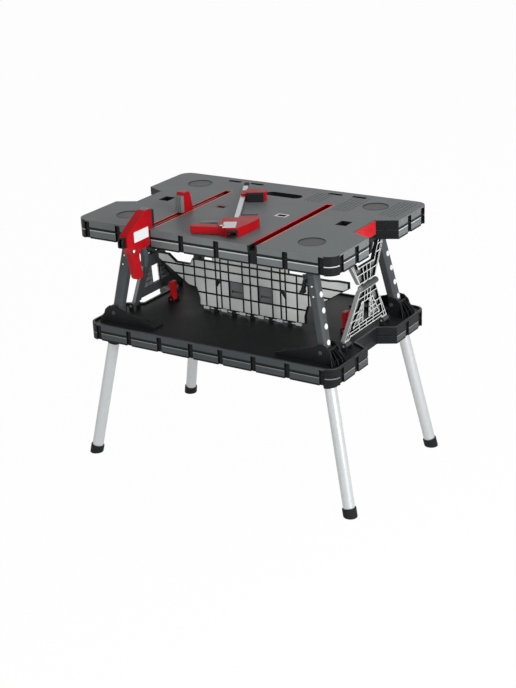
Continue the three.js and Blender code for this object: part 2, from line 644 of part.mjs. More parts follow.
function panelHalf({ openings, ribs, kneeSpans }) {
  const knee = HALF_LENGTH;
  const top = knee - PANEL.kneeRadius - PANEL.endClear;
  const low = PANEL.footRadius + PANEL.endClear;
  const inner = -PANEL.face - PANEL.thickness;
  const outline = [[-PANEL.foot, low], [PANEL.foot, low], [PANEL.waist, top], [-PANEL.waist, top]];
  const windows = openings.map((points) => extrude('x', polygon(points), inner - 1, 1));
  const envelope = cut(extrude('x', polygon(outline), inner, -PANEL.face), ...windows);
  const web = cut(extrude('x', polygon(outline), inner, inner + PANEL.web), ...windows);
  const edges = outline.map((point, i) => panelRib(point, outline[(i + 1) % outline.length],
    2 * PANEL.rib));
  for (const points of openings) {
    points.forEach((point, i) => {
      const next = points[(i + 1) % points.length];
      edges.push(panelRib(point, next, 2 * PANEL.rib));
    });
  }
  const lattice = join(...edges, ...ribs.map(([from, to]) => panelRib(from, to, PANEL.rib)));
  let half = join(web, lattice.intersect(envelope));

  for (const [from, to] of kneeSpans) {
    const y = [from + PANEL.knuckleGap, to - PANEL.knuckleGap];
    half = join(half, block([-PANEL.kneeRadius, -PANEL.face], y, [top - 3, knee]),
      rod('y', PANEL.kneeRadius, y[0], y[1], 0, knee));
  }
  const earReach = PANEL.foot + PANEL.knuckleGap + PANEL.earThickness;
  const earStart = PANEL.foot - PANEL.footWidth - PANEL.knuckleGap - PANEL.earThickness;
  for (const side of [-1, 1]) {
    const span = (from, to) => (side > 0 ? [from, to] : [-to, -from]);
    const foot = span(PANEL.foot - PANEL.footWidth, PANEL.foot);
    const axle = span(earStart, earReach);
    half = join(
      half,
      block([-PANEL.footRadius, -PANEL.face], foot, [0, low + 4]),
      rod('y', PANEL.footRadius, foot[0], foot[1], 0, 0),
      rod('y', PANEL.footPin, axle[0], axle[1], 0, 0, PIN_SIDES),
    );
  }
  return cut(half, bore('y', PANEL.kneePin, -PANEL.waist - 1, PANEL.waist + 1, 0, knee));
}

const SPAN = PANEL.waist / 5;
const LOWER_KNEE = [[-5 * SPAN, -3 * SPAN], [-SPAN, SPAN], [3 * SPAN, 5 * SPAN]];
const UPPER_KNEE = [[-3 * SPAN, -SPAN], [SPAN, 3 * SPAN]];
const FOOT_INNER = PANEL.foot - PANEL.footWidth;

const lowerHalf = panelHalf({
  openings: [
    [[-FOOT_INNER - 1, -1], [FOOT_INNER + 1, -1], [FOOT_INNER - 8, 14], [8 - FOOT_INNER, 14]],
    [[-72, 38], [72, 38], [30, 95], [-30, 95]],
  ],
  ribs: [
    [[-110, 26], [110, 26]],
    [[-115, 56], [-50, 56]], [[50, 56], [115, 56]],
    [[-100, 76], [-35, 76]], [[35, 76], [100, 76]],
    [[-80, 112], [80, 112]],
    [[-111, 6], [-48, 128]], [[111, 6], [48, 128]],
    [[-18, 95], [-14, 140]], [[18, 95], [14, 140]], [[0, 95], [0, 140]],
    [[-40, 14], [-40, 38]], [[0, 14], [0, 38]], [[40, 14], [40, 38]],
  ],
  kneeSpans: LOWER_KNEE,
});

const upperHalf = panelHalf({
  openings: [[[-FOOT_INNER - 2, -1], [FOOT_INNER + 2, -1], [44, 83], [-44, 83]]],
  ribs: [
    [[-125, 26], [-70, 26]], [[70, 26], [125, 26]],
    [[-120, 46], [-60, 46]], [[60, 46], [120, 46]],
    [[-110, 66], [-48, 66]], [[48, 66], [110, 66]],
    [[-80, 104], [80, 104]],
    [[-112, 6], [-44, 128]], [[112, 6], [44, 128]],
    [[-22, 83], [-15, 140]], [[22, 83], [15, 140]], [[0, 83], [0, 140]],
  ],
  kneeSpans: UPPER_KNEE,
});

for (const [end, side] of ENDS) {
  const turn = side > 0 ? 0 : Math.PI;
  const lower = new THREE.Group();
  lower.position.set(side * HINGE_X, 0, LOWER_HINGE_Z);
  lower.rotation.set(0, side * PANEL_TILT, 0);
  const upper = new THREE.Group();
  upper.position.set(side * HINGE_X, 0, UPPER_HINGE_Z);
  upper.rotation.set(0, -side * PANEL_TILT, 0);
  bench.add(lower, upper);
  piece(`end_panel_${end}_lower`, geometryOf(lowerHalf), plastic(LIGHT_GREY), lower).rotation.z = turn;
  const top = piece(`end_panel_${end}_upper`, geometryOf(upperHalf), plastic(LIGHT_GREY), upper);
  top.rotation.set(Math.PI, 0, turn);
  const kneePin = rod('y', PANEL.kneePin, -PANEL.waist, PANEL.waist, 0, HALF_LENGTH, PIN_SIDES);
  piece(`knee_pin_${end}`, geometryOf(kneePin), metal(STEEL), lower);
}

// Struts: octagonal plastic columns that stand in shoes on the tray, lean inwards and bear on worktop pads
const STRUT_PIVOT = new THREE.Vector3(stepX(STRUT_PIVOT_Z), -stepY(STRUT_PIVOT_Z), STRUT_PIVOT_Z);

// Local frame of the front right strut: Z up the strut, Y across it, X towards the bench's end
function strutFrame() {
  const up = LEG_DOWN.clone().negate();
  const across = new THREE.Vector3(0, 1, 0).addScaledVector(up, -up.y).normalize();
  const out = new THREE.Vector3().crossVectors(across, up);
  return new THREE.Matrix4().makeBasis(out, across, up).setPosition(STRUT_PIVOT);
}

const cheekOffset = () => STRUT.across / 2 + SHOE.side;

function strut() {
  const half = STRUT.across / 2;
  const flat = half - STRUT.cornerCut;
  const section = polygon([
    [half, -flat], [half, flat], [flat, half], [-flat, half], [-half, flat], [-half, -flat],
    [-flat, -half], [flat, -half],
  ]);
  const length = (STRUT_TOP_Z - STRUT_PIVOT_Z) / -LEG_DOWN.z;
  let column = extrude('z', section, STRUT.start, length + half);
  for (let hole = 0; hole < STRUT.holes; hole += 1) {
    const at = STRUT.holeFirst + hole * STRUT.holePitch;
    column = cut(column, rod('x', STRUT.holeRadius, half - STRUT.holeDepth, half + 1, 0, at));
  }
  const axleX = -half - STRUT_LATCH.standOff;
  for (const side of [-1, 1]) {
    const from = STRUT_LATCH.width / 2 + GAP;
    const y = [side * from, side * (from + STRUT_LATCH.ear)].sort((a, b) => a - b);
    const reach = [-half - STRUT_LATCH.earReach, 1 - half];
    const ear = block(reach, y, [STRUT_LATCH.along - 7, STRUT_LATCH.along + 7]);
    column = join(column, cut(ear, bore('y', STRUT_LATCH.pin, y[0] - 1, y[1] + 1, axleX,
      STRUT_LATCH.along)));
  }
  const below = block([0, WORKTOP.length], [-WORKTOP.width, 0], [0, STRUT_TOP_Z]);
  const leaning = moved(column, strutFrame()).intersect(below);
  const { x, y, z } = STRUT_PIVOT;
  const reach = cheekOffset() + SHOE.cheek;
  return join(
    leaning,
    rod('y', STRUT.barrelRadius, y - STRUT.barrelHalf, y + STRUT.barrelHalf, x, z),
    rod('y', STRUT.pin, y - reach, y + reach, x, z, PIN_SIDES),
  );
}

function strutLatch() {
  const half = STRUT.across / 2;
  const { along, standOff, length, tilt, width, thickness, knob, ear, eye, pin } = STRUT_LATCH;
  const axle = width / 2 + GAP + ear;
  const arm = join(
    block([-thickness / 2, thickness / 2], [-width / 2, width / 2], [-length, 0]),
    rod('y', eye, -width / 2, width / 2, 0, 0),
    rod('y', pin, -axle, axle, 0, 0, PIN_SIDES),
    rod('y', knob, -width / 2 - 2, width / 2 + 2, 0, -length),
  );
  const place = new THREE.Matrix4().makeTranslation(-half - standOff, 0, along);
  place.multiply(new THREE.Matrix4().makeRotationY(THREE.MathUtils.degToRad(tilt)));
  return moved(arm, strutFrame().multiply(place));
}

// Shoe: two cheeks round the strut's axle, a long ramp under the folded strut and a fan of fins outside
function strutShoe() {
  const { x, y, z } = STRUT_PIVOT;
  const floor = TRAY_FLOOR + GAP;
  const near = cheekOffset();
  const back = x + SHOE.back;
  const top = z + SHOE.topAbovePivot;
  const head = [[back, floor], [x + 30, z + 8], [x + 16, top - 2], [x - 5, top]];
  const outerCheek = polygon([[x - SHOE.tip, floor], ...head, [x - 20, top - 7],
    [x - SHOE.tip, floor + 8]]);
  const innerCheek = polygon([[x - SHOE.innerStart, floor], ...head, [x - SHOE.innerStart, top - 1]]);
  const ramp = polygon([[x - SHOE.tip, floor], [back, floor], [back, floor + SHOE.base],
    [x - 20, floor + SHOE.base],
    [x - SHOE.tip, floor + 5]]);
  const wallX = x + STRUT.across / 2 + SHOE.wallGap;
  let shoe = join(
    extrude('y', outerCheek, y - near - SHOE.cheek, y - near),
    extrude('y', innerCheek, y + near, y + near + SHOE.cheek),
    extrude('y', ramp, y - near - 1, y + near + 1),
    block([wallX, wallX + SHOE.wall], [y - near - 1, y + near + 1], [floor, z + 12]),
  );
  for (let fin = 0; fin < SHOE.fins; fin += 1) {
    const turn = THREE.MathUtils.degToRad((fin - (SHOE.fins - 1) / 2) * SHOE.finSpread);
    const profile = polygon([[10, 0], [SHOE.back + SHOE.finReach, 0], [SHOE.back + SHOE.finReach - 3, 12],
      [SHOE.back - 6, SHOE.finHeight - 6], [SHOE.back - 16, SHOE.finHeight], [10, SHOE.finHeight]]);
    const blade = extrude('y', profile, -SHOE.fin / 2, SHOE.fin / 2);
    const place = new THREE.Matrix4().makeTranslation(x, y, floor);
    place.multiply(new THREE.Matrix4().makeRotationZ(turn));
    const outside = block([wallX + 1, x + 100], [y - 60, y + 60], [floor - 1, top]);
    shoe = join(shoe, moved(blade, place).intersect(outside));
  }
  return cut(shoe, bore('y', STRUT.pin, y - 60, y + 60, x, z));
}

const strutBody = strut();
const shoeBody = strutShoe();
const strutLatchBody = strutLatch();
for (const [corner, sideX, sideY] of CORNERS) {
  piece(`strut_${corner}`, mirrored(strutBody, sideX, sideY), plastic(BLACK));
  piece(`strut_shoe_${corner}`, mirrored(shoeBody, sideX, sideY), plastic(BLACK));
  piece(`strut_latch_${corner}`, mirrored(strutLatchBody, sideX, sideY), plastic(BLACK));
}

// Bar clamps. Local frame: Y along the bar towards the jaw, Z towards the gripping side, X across.
// Y = 0 is the face of the body that meets the worktop's edge, and Z = 0 is the middle of the bar.
const BAR_SLOT = [CLAMP.barWidth / 2 + CLAMP.slide, CLAMP.barHeight / 2 + CLAMP.slide];
const JAW_BASE = RAIL.depth - RAIL.base - GAP - CLAMP.barHeight / 2 + CLAMP.jawLift;
const TRIGGER_PIVOT = [-20, -28];
const clampBody = (outline, thickness) => extrude('x', polygon(outline), -thickness / 2, thickness / 2);

function clampBar() {
  const x = CLAMP.barWidth / 2;
  const z = CLAMP.barHeight / 2;
  return block([-x, x], [CLAMP.barFront, CLAMP.barRear], [-z, z]);
}

function clampJaw() {
  const top = JAW_BASE + CLAMP.jawHeight;
  const head = clampBody([
    [0, JAW_BASE], [CLAMP.jawDepth, JAW_BASE], [CLAMP.jawDepth, JAW_BASE + 12],
    [CLAMP.jawDepth - 10, top - 6],
    [CLAMP.jawDepth - 18, top], [4, top], [0, top - 6],
  ], CLAMP.thickness);
  const tongue = clampBody([[2, 1 - CLAMP.barHeight / 2], [CLAMP.jawDepth - 4, 1 - CLAMP.barHeight / 2],
    [CLAMP.jawDepth, JAW_BASE + 1], [0, JAW_BASE + 1]], CLAMP.tongue);
  const saddle = block([-BAR_SLOT[0], BAR_SLOT[0]], [-1, CLAMP.jawDepth + 1], [-20, BAR_SLOT[1]]);
  return cut(join(head, tongue), saddle);
}

// A ridged rubber pad, seated on a face that looks along -Y or +Y
function clampPad(direction, bottom) {
  const t = CLAMP.padThickness;
  const outline = [[GAP, -13], [t - 2, -13], [t, -11]];
  for (const ridge of [-5.5, 0, 5.5]) {
    outline.push([t, ridge - 2], [t - 1.5, ridge], [t, ridge + 2]);
  }
  outline.push([t, 11], [t - 2, 13], [GAP, 13]);
  const plan = outline.map(([depth, x]) => [x, direction * depth]);
  return extrude('z', polygon(direction > 0 ? plan.reverse() : plan), bottom, bottom + CLAMP.padHeight);
}

function clampHousing() {
  const clear = -1.5;
  const reach = CLAMP.armReach;
  const head = clampBody([
    [clear, -32], [clear, JAW_BASE], [reach, JAW_BASE], [reach, CLAMP.armTop - 8],
    [reach - 8, CLAMP.armTop],
    [reach - 30, CLAMP.armTop], [-62, 42], [-100, 18], [-104, 10], [-104, -16], [-92, -24], [-84, -40],
    [-50, -46],
    [-46, -36], [-10, -36],
  ], CLAMP.thickness);
  const grip = clampBody([[-84, -38], [-78, -60], [-68, -114], [-62, -120], [-44, -117], [-40, -110],
    [-49, -60], [-49, -38]],
    CLAMP.gripThickness);
  const [py, pz] = TRIGGER_PIVOT;
  const half = CLAMP.triggerThickness / 2 + GAP;
  const bar = block([-BAR_SLOT[0], BAR_SLOT[0]], [-110, 2], [-BAR_SLOT[1], BAR_SLOT[1]]);
  const pocket = join(bore('x', CLAMP.triggerEye, -half, half, py, pz, ROUND_SIDES),
    block([-half, half], [py - 13, py + 12], [pz - 9, pz]));
  return cut(join(head, grip), bar, pocket);
}

function clampTrigger() {
  const [py, pz] = TRIGGER_PIVOT;
  const t = CLAMP.triggerThickness;
  const lever = clampBody([[py - 6, pz], [py + 6, pz], [py + 8, pz - 14], [-5, -62], [-9, -88],
    [-17, -97], [-25, -94],
    [-24, -64], [py - 8, pz - 14]], t);
  return join(lever, rod('x', CLAMP.triggerEye, -t / 2, t / 2, py, pz));
}

function clampRelease() {
  const from = -104 - GAP - CLAMP.releaseDepth;
  const body = clampBody([[from + 3, -15], [-104 - GAP, -15], [-104 - GAP, 15], [from + 6, 15], [from, 6],
    [from, -12]],
    CLAMP.releaseThickness);
  return cut(body, block([-BAR_SLOT[0] - 0.5, BAR_SLOT[0] + 0.5], [from - 1, -100], [-11, 11]));
}

function addClamp(prefix, group, jawAt) {
  bench.add(group);
  piece(`${prefix}_bar`, geometryOf(clampBar()), metal(STEEL), group);
  const jaw = piece(`${prefix}_jaw`, geometryOf(clampJaw()), plastic(RED), group);
  const jawPad = piece(`${prefix}_jaw_pad`, geometryOf(clampPad(-1, JAW_BASE + 4)), plastic(MID_GREY),
    group);
  jaw.position.y = jawAt;
  jawPad.position.y = jawAt;
  piece(`${prefix}_body`, geometryOf(clampHousing()), plastic(RED), group);
  const bodyPad = piece(`${prefix}_body_pad`, geometryOf(clampPad(1, JAW_BASE + 4)), plastic(MID_GREY),
    group);
  bodyPad.position.y = CLAMP.armReach;
  piece(`${prefix}_trigger`, geometryOf(clampTrigger()), plastic(MID_GREY), group);
  piece(`${prefix}_release`, geometryOf(clampRelease()), plastic(BLACK), group);
}

const mounted = new THREE.Group();
const barZ = WORKTOP.top - RAIL.depth + RAIL.base + GAP + CLAMP.barHeight / 2;
mounted.position.set(-RAIL.x, -WORKTOP.width / 2 - MOUNTED_CLAMP.fromEdge, barZ);
addClamp('mounted_clamp', mounted, MOUNTED_CLAMP.jawAt);

// The loose clamp lies on its side, so its local X points down and its jaws point along the worktop
const loose = new THREE.Group();
const turn = THREE.MathUtils.degToRad(LOOSE_CLAMP.turn);
const alongBar = new THREE.Vector3(-Math.sin(turn), Math.cos(turn), 0);
const alongJaw = new THREE.Vector3(Math.cos(turn), Math.sin(turn), 0);
loose.quaternion.setFromRotationMatrix(new THREE.Matrix4().makeBasis(new THREE.Vector3(0, 0, -1),
  alongBar, alongJaw));
loose.position.set(LOOSE_CLAMP.x, LOOSE_CLAMP.y, WORKTOP.top + GAP + CLAMP.thickness / 2);
addClamp('loose_clamp', loose, LOOSE_CLAMP.jawAt);

export default workbench;
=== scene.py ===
"""Looks of a folding workbench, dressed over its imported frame."""
import json
from math import cos, pi, radians, sin

import bmesh
import bpy
from bpy.props import FloatProperty, FloatVectorProperty, IntProperty, PointerProperty
from bpy.types import Operator, Panel, PropertyGroup
from mathutils import Matrix, Vector
from mathutils.geometry import area_tri


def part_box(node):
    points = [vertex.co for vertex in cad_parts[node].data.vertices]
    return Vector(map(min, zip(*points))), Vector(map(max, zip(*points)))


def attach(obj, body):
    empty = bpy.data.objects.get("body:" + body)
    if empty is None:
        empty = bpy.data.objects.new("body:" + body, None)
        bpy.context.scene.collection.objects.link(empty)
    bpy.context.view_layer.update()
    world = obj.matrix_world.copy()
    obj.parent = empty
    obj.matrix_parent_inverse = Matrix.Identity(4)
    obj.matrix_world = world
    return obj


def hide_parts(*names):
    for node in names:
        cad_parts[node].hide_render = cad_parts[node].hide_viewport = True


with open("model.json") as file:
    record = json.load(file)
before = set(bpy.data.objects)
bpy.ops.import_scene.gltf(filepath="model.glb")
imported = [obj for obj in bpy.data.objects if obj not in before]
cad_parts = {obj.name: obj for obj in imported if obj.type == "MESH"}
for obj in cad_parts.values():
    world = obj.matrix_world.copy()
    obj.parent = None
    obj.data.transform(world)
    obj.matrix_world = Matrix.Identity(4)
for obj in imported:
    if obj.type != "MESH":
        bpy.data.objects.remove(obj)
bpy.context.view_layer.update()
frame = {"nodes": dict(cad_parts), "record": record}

bl_info = {
    "name": "Folding workbench",
    "version": (1, 0, 0),
    "blender": (4, 5, 0),
    "location": "View3D > Sidebar > Workbench",
    "description": "Dresses the packed frame of a folding workbench with its mouldings and finishes",
    "category": "Add Mesh",
}

MM = 0.001
SHARP = radians(50)
X_AXIS, Y_AXIS, Z_AXIS = Vector((1, 0, 0)), Vector((0, 1, 0)), Vector((0, 0, 1))
# Shares of a normal along a direction: looks that way, looks exactly that way, stands upright
FACING, SQUARE, UPRIGHT = 0.9, 0.99, 0.6

# Places of the bench that the pieces are set by, in metres
TOP_LOW, TOP_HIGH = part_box("worktop_deck")
TRAY_LOW, TRAY_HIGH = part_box("tray_deck")
TRAY_RIM_Z = 437 * MM
TRAY_EDGE = Vector((TRAY_HIGH.x, TRAY_HIGH.y, TRAY_RIM_Z))
MIDDLE_Y = (TOP_LOW.y + TOP_HIGH.y) / 2
JOINT_AT = {j["name"]: Vector(j["pos_m"]) for j in frame["record"]["behaviour"]["joints"] if "pos_m" in j}
ENDS = (("left", -1), ("right", 1))
CORNERS = tuple((f"{row}_{end}", side, front)
                for row, front in (("front", -1), ("rear", 1)) for end, side in ENDS)
# The clamps, and on which side of each its plate shows
CLAMPS = {"mounted_clamp": 1, "loose_clamp": -1}


def linear(hex_colour):
    """Turn an sRGB hex colour into linear red, green, blue."""
    shares = [int(hex_colour[i:i + 2], 16) / 255 for i in (1, 3, 5)]
    return [s / 12.92 if s <= 0.04045 else ((s + 0.055) / 1.055) ** 2.4 for s in shares]


def spot(x, y, z):
    """Return a place in metres from millimetres, with y counted from the middle of the worktop."""
    return Vector((x * MM, y * MM + MIDDLE_Y, z * MM))


def length(name, description, millimetres):
    """Return a length property with a default in millimetres."""
    return FloatProperty(name=name, description=description, default=millimetres * MM, unit="LENGTH")


def colour(name, description, hex_colour):
    """Return a colour property with an sRGB hex default."""
    return FloatVectorProperty(name=name, description=description, default=linear(hex_colour),
                               size=3, min=0, max=1, subtype="COLOR")


class BenchSizes(PropertyGroup):
    """Sizes of the small forms that dress the bench."""
    rim_round: length("Board edge", "Rounding of the worktop's and tray's upper edge", 1.8)
    small_round: length("Part edge", "Rounding of the edges of small mouldings", 0.6)
    strut_round: length("Strut edge", "Rounding of the struts' long edges", 2.2)
    slot_rise: length("Slot rise", "How far the worktop's slots run up towards the rim", 4.0)
    slot_side: length("Slot side", "How far the front and rear slots are widened to each side", 2.5)
    slot_end: length("Slot end", "How far the slots of the ends are widened to each side", 4.5)
    # The dark bead along the skirt's lower edge is painted shadow
    shadow_line: length("Shadow line", "Height of the dark bead along the skirt's lower edge", 5.2)
    # The dark bead along the upper band's lower edge is painted shade of the groove between the bands
    lip_line: length("Lip line", "Height of the dark bead along the upper band's lower edge", 4.6)
    # The pale bead is a painted highlight along the lower band's upper edge
    light_line: length("Light line", "Height of the pale bead along the lower band's upper edge", 2.8)
    ridge_width: length("Ridge width", "Width of the fine ridges on the worktop", 2.6)
    ridge_height: length("Ridge height", "Height of the fine ridges on the worktop", 0.5)
    ridge_pitch: length("Ridge pitch", "Distance from one ridge to the next", 12.0)
    groove_width: length("Groove width", "Half the width of the grooves between the long panel's cells", 2.8)
    groove_depth: length("Groove depth", "Depth of the grooves between the long panel's cells", 1.8)
    dot_radius: length("Dot radius", "Radius of the pale plugs in the struts", 8.0)
    label_corner: length("Label corner", "Corner radius of the clamps' bare label plates", 3.0)
    lens: FloatProperty(name="Lens", description="Focal length of the camera", default=75.43, unit="CAMERA")
    round_steps: IntProperty(name="Round steps", description="Segments in a rounded edge", default=2)


class BenchColours(PropertyGroup):
    """Colours of the bench's materials."""
    grey: colour("Worktop grey", "Grey of the worktop", "#666a6b")
    slate: colour("Tray slate", "Dark grey of the tray's skirt", "#404446")
    floor: colour("Tray floor", "Near black of the tray's floor", "#1a1c1d")
    pale: colour("Panel grey", "Pale grey of the folding panels", "#c6c8c7")
    coal: colour("Strut grey", "Dark grey of the struts", "#404446")
    # In recesses this black is painted shade
    black: colour("Black plastic", "Black of shoes, levers and recesses", "#141617")
    red: colour("Red plastic", "Red of rails, grips and clamps", "#b8121c")
    flame: colour("Orange red", "Orange bead along the rails", "#ee6a35")
    aluminium: colour("Aluminium", "Aluminium of the legs", "#bcbfc0")
    steel: colour("Steel", "Steel of bars and pins", "#b4b8ba")
    rubber: colour("Black rubber", "Rubber of feet and pads", "#1a1c1d")
    # The grey of the mounted clamp's jaw pad is painted light and reflection on its lit face
    pad: colour("Grey rubber", "Rubber of the mounted clamp's jaw pad", "#6a7172")
    nylon: colour("Grey nylon", "Nylon of the clamps' triggers and the panel's windows", "#6b6f70")
    label: colour("White vinyl", "Vinyl of the bare label plates", "#d2d4d4")


# Materials


def per_metre(millimetres):
    """Return the texture scale at which one cell of a pattern is this long."""
    return 1 / (millimetres * MM)


def clear_tree(owner):
    """Return the emptied node tree of a material or a world."""
    owner.use_nodes = True
    owner.node_tree.nodes.clear()
    return owner.node_tree


def add_node(tree, kind, inputs=None, output=None, **settings):
    """Add a node with its settings, set or link its inputs, and return it or one of its outputs."""
    node = tree.nodes.new(kind)
    for name, value in settings.items():
        setattr(node, name, value)
    for key, value in (inputs or {}).items():
        if isinstance(value, bpy.types.NodeSocket):
            tree.links.new(value, node.inputs[key])
        else:
            node.inputs[key].default_value = value
    return node if output is None else node.outputs[output]


def deepened(rgb, share):
    """Return a colour taken down or up by a share."""
    return [min(1, c * share) for c in rgb]


def shaded(rgb, share):
    """Return a colour taken down or up by a share, with alpha."""
    return deepened(rgb, share) + [1]


# Spans of noise and openness that the finishes work with, and lengths in millimetres
CLOUD_SPAN, CORNER_SPAN, EDGE_SPAN = (0.3, 0.7), (0.25, 0.95), (1.0, 0.45)
EDGE_REACH, EDGE_SHARE = 1.6, 0.5
GLOSS_DRIFT, GRAIN_HEIGHT = 0.07, 0.4
# Sockets of a mix node that mixes colours
MIX_SHARE, MIX_FIRST, MIX_SECOND, MIX_RESULT = 0, 6, 7, 2


# corner is the share of the colour kept in the painted shade of corners and recesses, and reach is how far
# that shade reaches, in millimetres; the rub share is how much paler the edges are painted, as wear and as
# highlight
def surface(name, rgb, roughness, cloud=110, grain=1.6, relief=0.1, stretch=(1, 1, 1), spread=0.12,
            corner=0.35, rub_and_highlight=1.25, metallic=0.0, ior=1.49, reach=14, shine=0.12):
    """Build a material: drifting tone, fine grain, painted shade in corners, edges painted paler as wear and
    as highlight, and uneven gloss.
    """
    material = bpy.data.materials.new(name)
    tree = clear_tree(material)

    def noise(size, detail):
        return add_node(tree, "ShaderNodeTexNoise",
                        {"Vector": drawn, "Scale": per_metre(size), "Detail": detail}, "Fac")

    def ranged(value, span, low=0.0, high=1.0):
        limits = {"From Min": span[0], "From Max": span[1], "To Min": low, "To Max": high}
        return add_node(tree, "ShaderNodeMapRange", {"Value": value, **limits}, "Result")

    def mixed(share, first, second):
        return add_node(tree, "ShaderNodeMix", {MIX_SHARE: share, MIX_FIRST: first, MIX_SECOND: second},
                        MIX_RESULT, data_type="RGBA")

    def openness(distance, samples, inside=False):
        return add_node(tree, "ShaderNodeAmbientOcclusion", {"Distance": distance * MM}, "AO",
                        samples=samples, inside=inside, only_local=True)
    place = add_node(tree, "ShaderNodeTexCoord", output="Object")
    drawn = add_node(tree, "ShaderNodeMapping", {"Vector": place, "Scale": stretch}, "Vector")
    clouds, grains = noise(cloud, 5.0), noise(grain, 2.0)
    body = mixed(ranged(clouds, CLOUD_SPAN), shaded(rgb, 1 - spread), shaded(rgb, 1 + spread))
    # Edges painted paler: partly wear, partly painted highlight where edges catch the light
    edge_wear_and_highlight = ranged(openness(EDGE_REACH, 6, inside=True), EDGE_SPAN, high=EDGE_SHARE)
    worn_and_highlit = mixed(edge_wear_and_highlight, body, shaded(rgb, rub_and_highlight))
    # Painted shade: the colour darkens where the surface is closed in, in corners, creases and recesses
    corner_shaded = mixed(ranged(openness(reach, 8), CORNER_SPAN), shaded(rgb, corner), worn_and_highlit)
    gloss = ranged(clouds, CLOUD_SPAN, roughness - GLOSS_DRIFT, roughness + GLOSS_DRIFT)
    bump = add_node(tree, "ShaderNodeBump",
                    {"Strength": relief, "Distance": GRAIN_HEIGHT * MM, "Height": grains}, "Normal")
    shader = add_node(tree, "ShaderNodeBsdfPrincipled", {
        "Base Color": corner_shaded, "Roughness": gloss, "Metallic": metallic, "IOR": ior,
        "Specular IOR Level": shine, "Normal": bump}, "BSDF")
    add_node(tree, "ShaderNodeOutputMaterial", {"Surface": shader})
    return material


def make_finishes(colours):
    """Return the bench's materials by the word that the pieces use for them."""
    return {
        # Glass-filled polypropylene, moulded against a lightly sparked tool: a matt, slightly cloudy grey
        "grey": surface("glass_filled_polypropylene_grey", colours.grey, 0.46, spread=0.1),
        # The same grey in a deeper tone on discs and ridges; on the ridges the deeper tone is painted shade
        "dim": surface("glass_filled_polypropylene_deep", deepened(colours.grey, 0.4), 0.4, spread=0.16),
        # The same grey, painted nearly black on the rounded corner posts as shade
        "post": surface("glass_filled_polypropylene_post", deepened(colours.grey, 0.07), 0.4, spread=0.16),
        # The same grey, painted pale along a bead as a highlight
        "bright": surface("glass_filled_polypropylene_highlight", deepened(colours.grey, 3.2), 0.4),
        # Polypropylene, dark grey and semi-matt: its edges painted paler, as highlight and wear
        "slate": surface("polypropylene_slate", colours.slate, 0.42, rub_and_highlight=1.7),
        # The same polypropylene in a dull near black on the tray's floor
        "floor": surface("polypropylene_floor", colours.floor, 0.5, cloud=160, spread=0.25, rub_and_highlight=1.7),
        # Polypropylene filled pale grey: matt, with strong shade in its pockets
        "pale": surface("polypropylene_pale_grey", colours.pale, 0.5, corner=0.3, reach=12, rub_and_highlight=1.2),
        # The same pale grey, darkened as painted shade in the pockets
        "web": surface("polypropylene_pale_shaded", deepened(colours.pale, 0.28), 0.6, corner=0.2, reach=12),
        # The pale grey along the ribs' tops, painted paler than the panel round them as highlight
        "rib": surface("polypropylene_pale_highlit", deepened(colours.pale, 0.8), 0.45, corner=0.7),
        # The pale grey of the end panels, a little darker than the long panel
        "border": surface("polypropylene_pale_border", deepened(colours.pale, 0.42), 0.5, corner=0.3,
                          reach=12),
        # Polypropylene, charcoal, with a soft sheen that shows the struts' roundness
        "coal": surface("polypropylene_charcoal", colours.coal, 0.4, rub_and_highlight=1.6),
        # Carbon-black polypropylene: nearly black with a dull sheen, its edges painted paler as highlight
        # and wear; painted into slots, grooves and holes as shade
        "black": surface("polypropylene_black", colours.black, 0.42, rub_and_highlight=2.6),
        # ABS, moulded glossy red: bright, with painted shade deepening it in its recesses
        "red": surface("abs_red", colours.red, 0.34, cloud=60, relief=0.05, corner=0.3, rub_and_highlight=1.2, ior=1.53,
                       shine=0.25),
        # The same ABS, darkened for the clamps as painted shade
        "crimson": surface("abs_red_shaded", deepened(colours.red, 0.72), 0.36, cloud=60, relief=0.05,
                           corner=0.3, rub_and_highlight=1.3, ior=1.53, shine=0.08),
        # The same ABS in shade inside channels and sockets
        "deep_red": surface("abs_red_deep", deepened(colours.red, 0.3), 0.4, cloud=60, relief=0.05,
                            ior=1.53),
        # ABS where light runs along a thin bead: orange red
        "flame": surface("abs_red_bead", colours.flame, 0.36, cloud=60, relief=0.05, ior=1.53),
        # Drawn aluminium tube, anodised clear: satin with a fine streak along its length
        "aluminium": surface("anodised_aluminium", colours.aluminium, 0.36, cloud=60, grain=1.0, relief=0.04,
                             stretch=(1, 1, 0.02), spread=0.04, corner=0.6, rub_and_highlight=1.0, metallic=0.45, ior=1.5,
                             shine=0.3),
        # Cold-drawn steel, zinc plated: bright grey with faint streaks
        "steel": surface("zinc_plated_steel", colours.steel, 0.34, cloud=30, grain=0.9, relief=0.05,
                         spread=0.08, corner=0.5, rub_and_highlight=1.1, metallic=0.8, ior=1.5),
        # Natural rubber, black: dead matt
        "rubber": surface("rubber_black", colours.rubber, 0.68, relief=0.2, rub_and_highlight=1.6, ior=1.52),
        # Thermoplastic rubber, grey and matt: on the mounted clamp's jaw pad it is painted light and
        # reflection of the lit face
        "pad": surface("rubber_grey", colours.pad, 0.64, relief=0.2, ior=1.52),
        # Nylon, moulded grey: waxy half gloss
        "nylon": surface("nylon_grey", colours.nylon, 0.42, ior=1.53),
        # Vinyl film, white and bare: smooth with a soft shine
        "label": surface("vinyl_white", colours.label, 0.36, relief=0.03, spread=0.01, corner=0.85, rub_and_highlight=1.0),
    }


FINISH = {}


# Mesh helpers


WELD, CUT = 1e-5, 1e-6
FLAT = radians(0.6)


